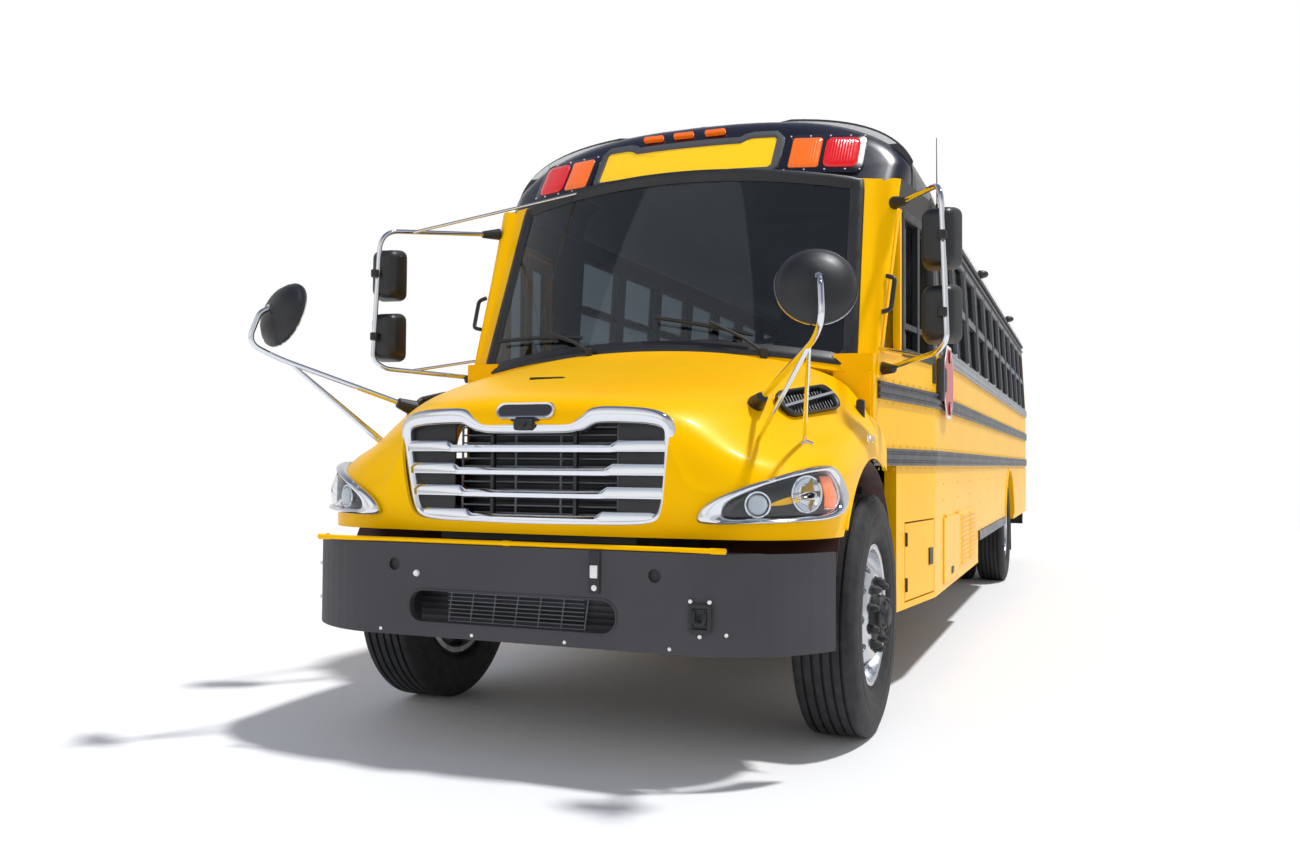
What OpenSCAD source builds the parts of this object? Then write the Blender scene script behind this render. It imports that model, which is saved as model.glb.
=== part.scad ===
// School bus: conventional type with a tilting hood, built in millimetres.
// The bus faces -Y, its driver's side is +X, and it stands on Z = 0.
// Modules draw from the front axle (Y = 0); on_row() then centres the bus on the origin.

/* [Overall] */
// Distance between the front and rear axles
wheelbase = 7090; // [5500:10:7600]
// Width over the side walls
body_w = 2440; // [2300:10:2500]
// Height of the roof crown above the ground
roof_z = 3050; // [3000:10:3300]
// Body length behind the rear axle
rear_overhang = 2860; // [2300:10:3200]
// Front axle to the face of the front bumper
bumper_reach = 1100; // [1060:5:1250]
// Front axle to the foremost point of the mirrors
mirror_reach = 1250; // [1230:5:1400]

/* [Body shell] */
// Thickness of a wall, with its lining
wall_t = 60; // [40:1:80]
// Thickness of the roof
roof_t = 50; // [30:1:70]
// Top of the cabin floor
floor_z = 1080; // [1020:5:1120]
// Thickness of the floor
floor_t = 50; // [30:1:70]
// Lower edge of the side skirt ahead of the rear axle
skirt_z = 440; // [400:5:560]
// Lower edge of the side skirt behind the compartments
rear_skirt_z = 600; // [520:5:700]
// Lower edge of the side windows
sill_z = 1850; // [1780:5:1900]
// Upper edge of the side windows
head_z = 2540; // [2450:5:2580]
// Bottom of the roof arch
eave_z = 2620; // [2560:5:2700]
// Inward lean of the wall between the sill and the eave
wall_lean = 45; // [0:1:80]
// Distance from one side window to the next
window_pitch = 720; // [600:5:760]
// Width of the post between two side windows
post_w = 90; // [70:1:140]
// Number of passenger windows on each side
window_count = 11; // [8:1:11]
// Distance behind the front axle where the cab begins to narrow
corner_y = 1450; // [1400:5:1500]
// How far the cab side leans in at the front axle end
cab_taper = 7; // [4:0.5:9]
// Running gap around doors and lids
door_gap = 8; // [6:0.5:12]
// Running gap between the two entrance leaves
leaf_gap = 14; // [12:1:20]

/* [Windshield and cap] */
// Half width of the windshield glass at its foot
glass_half_w = 986; // [900:2:1000]
// Radius of the windshield in plan
glass_r = 2450; // [2200:10:3000]
// Lean of the windshield from upright
glass_tilt = 22.7; // [18:0.1:28]
// Height of the windshield along its slope
glass_h = 1060; // [950:5:1100]
// Thickness of window glass
pane_t = 6; // [5:0.5:8]

/* [Chassis] */
// Half distance between the frame rails' webs
rail_x = 430; // [400:1:450]
// Height of a frame rail
rail_h = 250; // [200:5:280]
// Underside of a frame rail
rail_z = 740; // [700:5:760]
// Thickness of the rail's steel
rail_t = 8; // [6:1:12]

/* [Wheels] */
// Radius of a loaded tyre
tyre_r = 520; // [490:1:530]
// Width of a tyre
tyre_w = 279; // [250:1:300]
// Radius of the rim's bead seat
rim_r = 286; // [280:1:290]
// Half track of the front wheels
front_track = 1035; // [1000:1:1045]
// Centre of each pair of rear wheels
rear_track = 900; // [870:1:920]
// Centre distance of twin tyres
twin_gap = 320; // [310:1:340]
// Half distance between the kingpins
kingpin_x = 850; // [820:1:870]
// Radius of a kingpin
kingpin_r = 22; // [18:1:26]
// Radius of the wheel spindle
spindle_r = 38; // [32:1:45]
// Radial running clearance of pins and spindles
fit = 0.05; // [0.02:0.01:0.09]
// Radius of a wheel arch
arch_r = 685; // [650:5:700]
// Number of wheel studs
stud_count = 10; // [8:1:12]
// Diameter of the stud circle
stud_pcd = 286; // [250:1:300]

/* [Hood and bumper] */
// Half width over the fenders
fender_half_w = 1155; // [1120:5:1170]
// Thickness of the hood's skin
hood_t = 22; // [16:1:30]
// Lower edge of the hood over the bumper
hood_foot_z = 888; // [884:1:900]
// Height of the bumper
bumper_h = 365; // [320:5:380]
// Underside of the bumper
bumper_z = 480; // [440:5:500]
// Thickness of the bumper's steel
bumper_t = 10; // [6:1:14]
// Length of the crossing arm
crossing_len = 1790; // [1500:10:1900]

/* [Hidden] */
$fn = 64;
seat = 0.3;
half_w = body_w / 2;
rear_y = wheelbase + rear_overhang;
mid_y = (rear_y - mirror_reach) / 2;
wall_rear_y = rear_y - 90;
windows_y = wall_rear_y - 150 - window_count * window_pitch;
axle_z = tyre_r;
front_edge_y = 380;
bumper_top = bumper_z + bumper_h;

// ---------- shared shapes ----------

// Moves what is drawn from the front axle so that the whole bus is centred on the origin.
module on_row() { translate([0, -mid_y, 0]) children(); }

// Copies a +X shape to both sides.
module both_sides() {
  children();
  mirror([1, 0, 0]) children();
}

// A box between two corners.
module span(a, b) {
  lo = [for (i = [0:2]) min(a[i], b[i])];
  hi = [for (i = [0:2]) max(a[i], b[i])];
  translate(lo) cube(hi - lo);
}

// Extrudes a drawing in (x, z) along Y, from y0 to y1.
module along_y(y0, y1) {
  translate([0, y1, 0]) rotate([90, 0, 0]) linear_extrude(y1 - y0) children();
}

// Extrudes a drawing in (y, z) along X, from x0 to x1.
module along_x(x0, x1) {
  translate([x0, 0, 0]) rotate([90, 0, 90]) linear_extrude(x1 - x0) children();
}

// A rod along X, centred on [y, z].
module rod_x(x0, x1, y, z, r) {
  translate([x0, y, z]) rotate([0, 90, 0]) cylinder(r = r, h = x1 - x0);
}

// A round tube along a list of points, with ball joints at the bends.
module tube_path(pts, r) {
  for (i = [0:len(pts) - 2]) {
    d = pts[i + 1] - pts[i];
    h = norm(d);
    translate(pts[i])
      rotate([0, acos(d[2] / h), atan2(d[1], d[0])])
        cylinder(r = r, h = h);
  }
  for (i = [1:len(pts) - 2]) translate(pts[i]) sphere(r = r + 1.5);
}

module rounded_rect(w, h, r) {
  square([w - 2 * r, h], center = true);
  square([w, h - 2 * r], center = true);
  for (x = [-1, 1], y = [-1, 1]) translate([x * (w / 2 - r), y * (h / 2 - r)]) circle(r);
}

// ---------- body section ----------

// Half width of the side wall at a height.
function wall_x(z) = half_w - wall_lean * max(0, z - sill_z) / (eave_z - sill_z);

// Points of the roof arch from the eave on +X over the crown, drawn inset by t.
function arch_pts(t) =
  let (x0 = wall_x(eave_z) - t, h = roof_z - eave_z - t)
  [for (a = [0:6:180]) let (c = cos(a), s = sin(a))
    [x0 * sign(c) * pow(abs(c), 0.62), eave_z + h * pow(s, 0.8)]];

// The wall of one side in (x, z), from its foot to the eave.
module wall_section(foot_z, t) {
  polygon([
    [half_w, foot_z], [half_w, sill_z], [wall_x(eave_z), eave_z],
    [wall_x(eave_z) - t, eave_z], [half_w - t, sill_z], [half_w - t, foot_z]
  ]);
}

// Window openings of one side, cut through along X.
module window_holes(grow) {
  for (i = [0:window_count - 1])
    translate([half_w - 2 * wall_t, windows_y + (i + 0.5) * window_pitch, (sill_z + head_z) / 2])
      rotate([90, 0, 90]) linear_extrude(3 * wall_t)
        rounded_rect(window_pitch - post_w + 2 * grow, head_z - sill_z + 2 * grow, 40);
}

rear_arch_y = wheelbase;
rear_arch_r = 600;
module rear_arch_cut() { rod_x(half_w - 3 * wall_t, half_w + wall_t, rear_arch_y, axle_z, rear_arch_r); }

// The lower edge of the side, stepped up behind the compartments.
compart_end_y = 3830;
module skirt_cut() {
  span([half_w - 3 * wall_t, compart_end_y, 0], [half_w + wall_t, rear_y, rear_skirt_z]);
}

module side_wall() {
  difference() {
    along_y(corner_y, wall_rear_y) wall_section(skirt_z, wall_t);
    window_holes(0);
    rear_arch_cut();
    skirt_cut();
  }
}

module left_side() {
  color("#f5b000") on_row() difference() {
    side_wall();
    battery_opening(door_gap);
  }
}
module right_side() { color("#f5b000") on_row() mirror([1, 0, 0]) side_wall(); }

// ---------- cab sections: the tapered sides beside the driver and the entrance ----------

// Places a drawing in (u, z) on the tapered side: u runs back from the front edge.
cab_len = (corner_y - front_edge_y) / cos(cab_taper);
module on_cab_side() {
  translate([half_w - cab_len * sin(cab_taper), front_edge_y, 0])
    rotate([0, 0, -cab_taper]) rotate([90, 0, 90]) children();
}
// A plate on the tapered side, whose outer face is inset by d.
module cab_plate(t, d = 0) { on_cab_side() translate([0, 0, -t - d]) linear_extrude(t) children(); }

function u_at(y) = (y - front_edge_y) / cos(cab_taper);
arch_back_u = 330;
hood_rear_y = 290;
hood_gap = 8;
cab_front_u = u_at(hood_rear_y + hood_gap);
ws_slope = tan(glass_tilt);
pillar_foot_z = 1660;
function pillar_u(z) = 10 + (z - pillar_foot_z) * ws_slope;

module cab_outline(foot_z) {
  difference() {
    polygon([
      [cab_front_u, 1180], [cab_front_u, 1600], [0, pillar_foot_z], [pillar_u(eave_z), eave_z],
      [cab_len, eave_z], [cab_len, foot_z], [arch_back_u, foot_z], [arch_back_u, 1180]
    ]);
    translate([u_at(0), axle_z]) circle(arch_r);
  }
}

// Space of the straight side behind the cab section.
module corner_space() {
  span([half_w - 3 * wall_t, corner_y, 0], [half_w + wall_t, corner_y + wall_t, roof_z]);
}

quarter_win = [[70, 1715], [340, 2400], [375, 2440], [375, 1730]];
driver_win = [430, 1745, 1010, 2440];
module driver_section() {
  color("#f5b000") on_row() difference() {
    cab_plate(wall_t) difference() {
      cab_outline(skirt_z);
      polygon(quarter_win);
      translate([driver_win[0], driver_win[1]])
        square([driver_win[2] - driver_win[0], driver_win[3] - driver_win[1]]);
    }
    battery_opening(door_gap);
    windshield_space();
    corner_space();
  }
}

// The entrance: two leaves that fold outward, hinged on their outer edges.
entry_u0 = 380;
entry_u1 = 1060;
entry_z0 = 470;
entry_z1 = 2430;
module door_section() {
  color("#f5b000") on_row() mirror([1, 0, 0]) difference() {
    cab_plate(wall_t) difference() {
      cab_outline(skirt_z);
      polygon(quarter_win_right);
      translate([entry_u0, skirt_z - 1]) square([entry_u1 - entry_u0, entry_z1 - skirt_z + 1]);
    }
    windshield_space();
    corner_space();
  }
}
quarter_win_right = [[70, 1715], [300, 2300], [330, 2330], [330, 1730]];

leaf_t = 36;
leaf_w = (entry_u1 - entry_u0 - 2 * door_gap - leaf_gap) / 2;
leaf_z0 = entry_z0 - 20;
leaf_z1 = entry_z1 - door_gap;
leaf_set = 2;
module leaf_panes() {
  translate([45, 90]) square([leaf_w - 90, 760]);
  translate([45, 940]) square([leaf_w - 90, leaf_z1 - leaf_z0 - 1000]);
}
module leaf(u0) {
  mirror([1, 0, 0]) cab_plate(leaf_t, leaf_set) translate([u0, leaf_z0]) difference() {
    square([leaf_w, leaf_z1 - leaf_z0]);
    leaf_panes();
  }
}
module leaf_glass(u0) {
  mirror([1, 0, 0]) cab_plate(pane_t, leaf_set + leaf_t / 2) translate([u0, leaf_z0]) leaf_panes();
}
front_leaf_u = entry_u0 + door_gap;
rear_leaf_u = entry_u1 - door_gap - leaf_w;
module front_door_leaf() { color("#f5b000") on_row() leaf(front_leaf_u); }
module rear_door_leaf() { color("#f5b000") on_row() leaf(rear_leaf_u); }
module front_door_glass() { color("#30363c", 0.5) on_row() leaf_glass(front_leaf_u); }
module rear_door_glass() { color("#30363c", 0.5) on_row() leaf_glass(rear_leaf_u); }

// ---------- floor with the entrance steps ----------

step_run = 250;
step_y0 = 760;
step_y1 = 1400;
step_drop = 210;
step_t = 20;
function cab_x(y) = half_w - max(0, corner_y - y) * tan(cab_taper);
step_x0 = -(cab_x(step_y0) - wall_t - 15);
step_x1 = step_x0 + 2 * step_run + step_t;
house_h = 70;
house_l = 1260;
house_x = 540;
module floor_plan() {
  polygon([
    [-half_w + wall_t + 7, step_y1], [-half_w + wall_t + 1, corner_y],
    [-half_w + wall_t, corner_y + 10], [-half_w + wall_t, wall_rear_y],
    [half_w - wall_t, wall_rear_y], [half_w - wall_t, corner_y + 10],
    [half_w - wall_t - 1, corner_y], [half_w - wall_t - 7, step_y1]
  ]);
}
// The floor beside the driver, and the strip ahead of the steps.
module cab_floor_plan() {
  polygon([
    [step_x1 + seat, front_edge_y], [cab_x(front_edge_y) - wall_t - 5, front_edge_y],
    [cab_x(step_y1) - wall_t - 1, step_y1 - seat], [step_x1 + seat, step_y1 - seat]
  ]);
  polygon([
    [-cab_x(front_edge_y) + wall_t + 5, front_edge_y], [step_x1, front_edge_y],
    [step_x1, step_y0], [-cab_x(step_y0) + wall_t + 1, step_y0]
  ]);
}
// Space taken by a wheel housing over the rear tyres, grown outward by g.
module house_space(g) {
  span([house_x - g, wheelbase - house_l / 2 - g, floor_z - floor_t - 1],
       [half_w - wall_t, wheelbase + house_l / 2 + g, floor_z + house_h + g]);
}
module floor() {
  color("#2c2e31") on_row() {
    difference() {
      translate([0, 0, floor_z - floor_t]) linear_extrude(floor_t) floor_plan();
      both_sides() house_space(0);
    }
    translate([0, 0, floor_z - floor_t]) linear_extrude(floor_t) cab_floor_plan();
  }
}
module wheel_housings() {
  color("#2c2e31") on_row() both_sides() difference() {
    intersection() {
      house_space(12);
      span([0, 0, floor_z + seat], [half_w - wall_t - seat, rear_y, roof_z]);
    }
    house_space(0);
  }
}
// Two treads with a riser behind each, between two end plates.
module entry_steps() {
  color("#2c2e31") on_row() {
    for (i = [1:2]) {
      x = step_x1 - step_t - i * step_run;
      z = floor_z - i * step_drop;
      riser_top = i == 1 ? floor_z - 1 : z + step_drop - step_t - seat;
      span([x, step_y0 + seat, z - step_t], [x + step_run - seat, step_y1 - seat, z]);
      span([x + step_run, step_y0 + seat, z - step_t], [x + step_run + step_t - seat, step_y1 - seat, riser_top]);
    }
    for (y = [step_y0 - step_t, step_y1])
      span([step_x0, y, floor_z - 2 * step_drop - step_t], [step_x1, y + step_t, floor_z - floor_t - seat]);
  }
}

// ---------- roof, cap and rear ----------

roof_front_y = 1000;
hatch_l = 640;
hatch_w = 620;
hatch_ys = [3300, 7600];
hatch_lap = 30;
module hatch_holes() {
  for (y = hatch_ys)
    span([hatch_lap - hatch_w / 2, y + hatch_lap - hatch_l / 2, roof_z - 200],
         [hatch_w / 2 - hatch_lap, y + hatch_l / 2 - hatch_lap, roof_z + 50]);
}
// Space inside the tapered cab sides and the straight walls, inset by d.
module cab_space(d) {
  translate([0, 0, eave_z - 10]) linear_extrude(roof_z - eave_z + 20)
    polygon([
      [-cab_x(200) + d, 200], [cab_x(200) - d, 200], [half_w - d, corner_y],
      [half_w - d, rear_y], [-half_w + d, rear_y], [-half_w + d, corner_y]
    ]);
}
module arch_room(y0, y1) {
  intersection() {
    along_y(y0 - 1, y1 + 1) polygon(concat(arch_pts(roof_t), [[-half_w, eave_z - 1], [half_w, eave_z - 1]]));
    cab_space(wall_t);
  }
}
module arch_solid(y0, y1) {
  intersection() {
    along_y(y0, y1) polygon(arch_pts(0));
    cab_space(0);
  }
}
module roof() {
  color("#f5b000") on_row() {
    difference() {
      arch_solid(roof_front_y, wall_rear_y);
      arch_room(roof_front_y, wall_rear_y);
      hatch_holes();
    }
  }
}
// The cap over the windshield: its face is a tilted, bowed sheet.
cap_y = 590;
cap_z = 2690;
cap_tilt = 35;
cap_skin = 45;
module on_cap() { translate([0, cap_y, cap_z]) rotate([-cap_tilt, 0, 0]) children(); }
module behind_cap(d) {
  on_cap() translate([0, glass_r, -900]) cylinder(r = glass_r - d, h = 2400, $fn = 200);
}
module front_cap() {
  color("#1a1b28") on_row() difference() {
    intersection() {
      arch_solid(300, roof_front_y);
      behind_cap(0);
    }
    intersection() {
      arch_room(300, roof_front_y);
      behind_cap(cap_skin);
    }
    windshield_space();
  }
}
// A piece d0 to d1 deep on the cap's face, of outline children() in (x, up the face).
module cap_sheet(d0, d1) {
  on_cap() intersection() {
    translate([0, glass_r, -300]) difference() {
      cylinder(r = glass_r - d0, h = 1000, $fn = 200);
      translate([0, 0, -1]) cylinder(r = glass_r - d1, h = 1002, $fn = 200);
    }
    translate([0, 700, 0]) rotate([90, 0, 0]) linear_extrude(1400) children();
  }
}

rear_door_w = 920;
rear_door_z0 = 960;
rear_door_z1 = 2480;
module rear_outline() {
  polygon(concat(arch_pts(0), [[-wall_x(eave_z), eave_z], [-half_w, sill_z], [-half_w, rear_skirt_z],
    [half_w, rear_skirt_z], [half_w, sill_z], [wall_x(eave_z), eave_z]]));
}
module rear_wall() {
  color("#f5b000") on_row() difference() {
    along_y(wall_rear_y, rear_y - 30) rear_outline();
    span([-rear_door_w / 2, wall_rear_y - 1, rear_door_z0], [rear_door_w / 2, rear_y, rear_door_z1]);
    for (s = [-1, 1])
      translate([s * 815, rear_y, 2150]) rotate([90, 0, 0])
        linear_extrude(200) rounded_rect(400, 560, 60);
  }
}
module emergency_door() {
  color("#f5b000") on_row() difference() {
    span([-rear_door_w / 2 + door_gap, rear_y - 70, rear_door_z0 + door_gap],
         [rear_door_w / 2 - door_gap, rear_y - 34, rear_door_z1 - door_gap]);
    for (z = [1440, 2150])
      translate([0, rear_y, z]) rotate([90, 0, 0])
        linear_extrude(200) rounded_rect(720, z > 2000 ? 520 : 420, 60);
  }
}
module emergency_glass() {
  color("#30363c", 0.5) on_row()
    for (z = [1440, 2150])
      translate([0, rear_y - 50, z]) rotate([90, 0, 0])
        linear_extrude(pane_t) rounded_rect(720, z > 2000 ? 520 : 420, 60);
}
module hatch(y) {
  translate([0, y, roof_z + seat]) difference() {
    linear_extrude(50) rounded_rect(hatch_w, hatch_l, 50);
    translate([0, 0, -1]) linear_extrude(31) rounded_rect(hatch_w - 60, hatch_l - 60, 40);
  }
}
module front_hatch() { color("#d8d8d0") on_row() hatch(hatch_ys[0]); }
module rear_hatch() { color("#d8d8d0") on_row() hatch(hatch_ys[1]); }

// ---------- windshield and its frame ----------

ws_y = 152;
ws_z = 1752;
// Local frame of the windshield: x across, y inward, z up its slope.
module on_windshield() { translate([0, ws_y, ws_z]) rotate([-glass_tilt, 0, 0]) children(); }
// A curved sheet of the windshield's radius, between depths d0 and d1, of outline children().
module ws_sheet(d0, d1) {
  on_windshield() intersection() {
    translate([0, glass_r, -300]) difference() {
      cylinder(r = glass_r - d0, h = 1600, $fn = 200);
      translate([0, 0, -1]) cylinder(r = glass_r - d1, h = 1602, $fn = 200);
    }
    translate([0, 700, 0]) rotate([90, 0, 0]) linear_extrude(1400) children();
  }
}
module glass_outline(grow) {
  offset(delta = grow)
    polygon([
      [-glass_half_w, 30], [-glass_half_w + 40, -30], [glass_half_w - 40, -30], [glass_half_w, 30],
      [glass_half_w - 38, glass_h - 60], [-glass_half_w + 38, glass_h - 60]
    ]);
}
frame_side = 84;
frame_edge = 50;
module frame_outline() {
  x0 = glass_half_w + frame_side;
  polygon([
    [-x0, -30 - frame_edge], [x0, -30 - frame_edge],
    [x0 - 20, glass_h - 60 + frame_edge], [-x0 + 20, glass_h - 60 + frame_edge]
  ]);
}
// What the windshield and its frame take from the panels that meet them.
module windshield_space() { ws_sheet(-500, wall_t) frame_outline(); }
module windshield() { color("#20262c", 0.5) on_row() ws_sheet(8, 8 + pane_t) glass_outline(12); }
firewall_y = front_edge_y;
firewall_t = 40;
cowl_top_z = 1660;
module cowl() {
  color("#f5b000") on_row() {
    difference() {
      union() {
        ws_sheet(0, wall_t) difference() {
          frame_outline();
          glass_outline(0);
        }
        // top plate ahead of the firewall
        translate([0, 0, cowl_top_z - 30]) linear_extrude(30) intersection() {
          translate([0, 140 + glass_r]) circle(glass_r, $fn = 200);
          translate([-1000, 100]) square([2000, firewall_y + firewall_t - 100]);
        }
      }
      ws_sheet(8 - seat, 8 + pane_t + seat) glass_outline(12 + seat);
      span([-half_w, 0, eave_z], [half_w, 900, eave_z + 300]);
    }
    span([-960, firewall_y, floor_z], [960, firewall_y + firewall_t, cowl_top_z - 1]);
  }
}

// ---------- glass and sashes ----------

module wall_sheet(d, t) {
  difference() {
    along_y(corner_y, wall_rear_y) polygon([
      [half_w - d, sill_z - 100], [half_w - d, sill_z], [wall_x(eave_z) - d, eave_z],
      [wall_x(eave_z) - d - t, eave_z], [half_w - d - t, sill_z], [half_w - d - t, sill_z - 100]
    ]);
  }
}
module sash_bars() {
  for (i = [0:window_count - 1]) {
    y = windows_y + i * window_pitch;
    span([half_w - 200, y, sill_z + 330], [half_w + 200, y + window_pitch, sill_z + 355]);
  }
}
module side_glass() {
  color("#30363c", 0.5) on_row() {
    both_sides() difference() {
      intersection() {
        wall_sheet(28, pane_t);
        window_holes(-20);
      }
      sash_bars();
    }
    difference() {
      union() {
        cab_plate(pane_t, 28) {
          polygon(quarter_win);
          translate([driver_win[0], driver_win[1]])
            square([driver_win[2] - driver_win[0], driver_win[3] - driver_win[1]]);
        }
        mirror([1, 0, 0]) cab_plate(pane_t, 28) polygon(quarter_win_right);
      }
      windshield_space();
    }
    for (s = [-1, 1])
      translate([s * 815, rear_y - 55, 2150]) rotate([90, 0, 0])
        linear_extrude(pane_t) rounded_rect(400, 560, 60);
  }
}
module window_sashes() {
  color("#15161a") on_row() both_sides() difference() {
    intersection() {
      wall_sheet(14, 32);
      window_holes(0);
    }
    difference() {
      window_holes(-20);
      sash_bars();
    }
  }
}

// ---------- cabin ----------

seat_pitch = 700;
seat_rows = 11;
seat_w = 900;
module bench() {
  // cushion, back and two legs of one bench, its front at y = 0
  span([0, 0, 340], [seat_w, 430, 450]);
  translate([6, 415, 356]) rotate([-8, 0, 0]) cube([seat_w - 12, 90, 624]);
  for (x = [120, seat_w - 160]) span([x, 60, 0], [x + 40, 400, 341]);
}
module seats() {
  color("#26282c") on_row() both_sides() difference() {
    for (i = [0:seat_rows - 1])
      translate([half_w - wall_t - seat_w - 20, 2000 + i * seat_pitch, floor_z]) bench();
    house_space(12 + seat);
  }
}
module driver_seat() {
  color("#26282c") on_row() translate([260, 1060, floor_z]) {
    span([0, 0, 380], [500, 480, 500]);
    translate([6, 460, 420]) rotate([-10, 0, 0]) cube([488, 110, 760]);
    span([120, 100, 0], [380, 380, 381]);
  }
}
wheel_hub = [510, 800, 1640];
wheel_tilt = -50;
module dashboard() {
  color("#232427") on_row() {
    dash_y = firewall_y + firewall_t;
    span([-930, dash_y, 1420], [930, dash_y + 200, 1640]);
    span([250, dash_y, floor_z], [770, dash_y + 160, 1421]);
    // steering column
    translate(wheel_hub) rotate([wheel_tilt, 0, 0]) translate([0, 0, -340]) cylinder(r = 32, h = 340 - seat);
  }
}
module steering_wheel() {
  color("#1c1d20") on_row() translate(wheel_hub) rotate([wheel_tilt, 0, 0]) {
    rotate_extrude() translate([215, 0]) circle(15, $fn = 24);
    cylinder(r = 45, h = 30);
    for (a = [90, 210, 330]) rotate([0, 0, a]) translate([0, -14, 4]) cube([215, 28, 12]);
  }
}

// ---------- side trim and lamps ----------

rail_zs = [1207, 1526, 1811];
rub_h = 84;
rub_t = 16;
module side_trim() {
  color("#2a2b2e") on_row() {
    both_sides() for (z = rail_zs)
      span([half_w, corner_y, z - rub_h / 2], [half_w + rub_t, wall_rear_y + 40, z + rub_h / 2]);
    for (i = [0, 1]) {
      u0 = [cab_front_u, 20][i];
      cab_plate(rub_t, -rub_t) translate([u0, rail_zs[i] - rub_h / 2]) square([cab_len - u0, rub_h]);
    }
    // mounting box of the stop arm
    span([half_w, stop_y - 70, stop_z - 120], [half_w + stop_stand, stop_y - 18, stop_z + 120]);
  }
}
stop_y = 1560;
stop_z = 1650;
stop_stand = 44;

lamp_w = 160;
lamp_h = 200;
lamp_xs = [600, 775];
module warning_lamps() {
  color("#c02020") on_row() {
    for (x = lamp_xs, s = [-1, 1])
      cap_sheet(-18, -seat) translate([s * x - lamp_w / 2, 60]) square([lamp_w, lamp_h]);
    for (x = [600, 800], s = [-1, 1])
      translate([s * x, rear_y - 30, 2780]) rotate([-90, 0, 0]) cylinder(r = 80, h = 28);
  }
}

// ---------- chassis ----------

rails_y0 = -960;
module channel(x0, s) {
  along_y(rails_y0, rear_y - 200) translate([x0, rail_z]) difference() {
    translate([s > 0 ? 0 : -75, 0]) square([75, rail_h]);
    translate([s > 0 ? rail_t : -75 - rail_t, rail_t]) square([75, rail_h - 2 * rail_t]);
  }
}
cross_ys = [rails_y0 + 31, 1300, 2900, 4500, 6100, wheelbase + 500, rear_y - 400];
module frame_rails() {
  color("#1d1e20") on_row() {
    both_sides() mirror([1, 0, 0]) channel(-rail_x, 1);
    for (y = cross_ys)
      span([-rail_x + rail_t - 1, y - 30, rail_z + 120], [rail_x - rail_t + 1, y + 30, rail_z + rail_h - 30]);
    // body sleepers between the rails and the floor
    for (y = [600:1200:wall_rear_y]) {
      x = cab_x(y) - wall_t - 40;
      span([-x, y - 30, rail_z + rail_h - 1], [x, y + 30, floor_z - floor_t]);
    }
  }
}
module spring(y, z, span_l) {
  // a leaf pack: an arc band hung under its rail
  r = 1400;
  a = asin(span_l / 2 / r);
  translate([rail_x - 38, y, z]) rotate([90, 0, 90]) linear_extrude(76) intersection() {
    translate([0, r]) difference() {
      circle(r, $fn = 160);
      circle(r - 45, $fn = 160);
    }
    translate([-span_l / 2, -50]) square([span_l, 50 + rail_z - z]);
  }
}
module leaf_springs() {
  color("#1d1e20") on_row() both_sides() {
    spring(0, axle_z + 60, 1250);
    spring(wheelbase, axle_z + 95, 1400);
  }
}
module front_axle() {
  color("#202124") on_row() difference() {
    union() {
      span([130 - kingpin_x, -45, axle_z - 90], [kingpin_x - 130, 45, axle_z + 50]);
      span([-kingpin_x, -40, axle_z - 55], [kingpin_x, 40, axle_z + 49]);
      both_sides() translate([kingpin_x, 0, axle_z - 56]) cylinder(r = 46, h = 112);
      both_sides() span([rail_x - 45, -90, axle_z + 49], [rail_x + 45, 90, axle_z + 60]);
    }
    both_sides() translate([kingpin_x, 0, axle_z - 100]) cylinder(r = kingpin_r + fit, h = 200);
  }
}
module rear_axle() {
  color("#202124") on_row() {
    rod_x(-rear_track + 230, rear_track - 230, wheelbase, axle_z, 85);
    rod_x(-rear_track - 170, rear_track + 170, wheelbase, axle_z, spindle_r);
    translate([0, wheelbase, axle_z]) rotate([90, 0, 0]) cylinder(r = 230, h = 260, center = true);
    both_sides() span([rail_x - 45, wheelbase - 100, axle_z], [rail_x + 45, wheelbase + 100, axle_z + 95]);
  }
}
shaft_r = 50;
shaft_mid = [0, 4200, 740];
case_front_y = wheelbase - 130;
shaft_tilt = atan((shaft_mid[2] - axle_z) / (case_front_y - shaft_mid[1]));
module driveshaft() {
  color("#2a2b2e") on_row()
    tube_path([[0, 1151, 760], shaft_mid, [0, case_front_y - seat - shaft_r * sin(shaft_tilt), axle_z]], shaft_r);
}
module engine() {
  color("#3c3e40") on_row() {
    span([-330, -700, 700], [330, 320, 1400]);
    translate([0, 1150, 790]) rotate([90, 0, 0]) cylinder(r = 180, h = 831);
    both_sides() span([320, -100, 800], [rail_x - rail_t, 0, 860]);
  }
}
module radiator() {
  color("#1a1b1d") on_row() {
    span([-350, rails_y0 + 75, 760], [350, rails_y0 + 190, 1330]);
    both_sides() span([349, rails_y0 + 105, 880], [rail_x - rail_t, rails_y0 + 155, 940]);
  }
}
module fuel_tank() {
  color("#2b2c2f") on_row() span([-1100, 4300, 560], [-rail_x, 5600, rail_z + rail_h - 60]);
}

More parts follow.
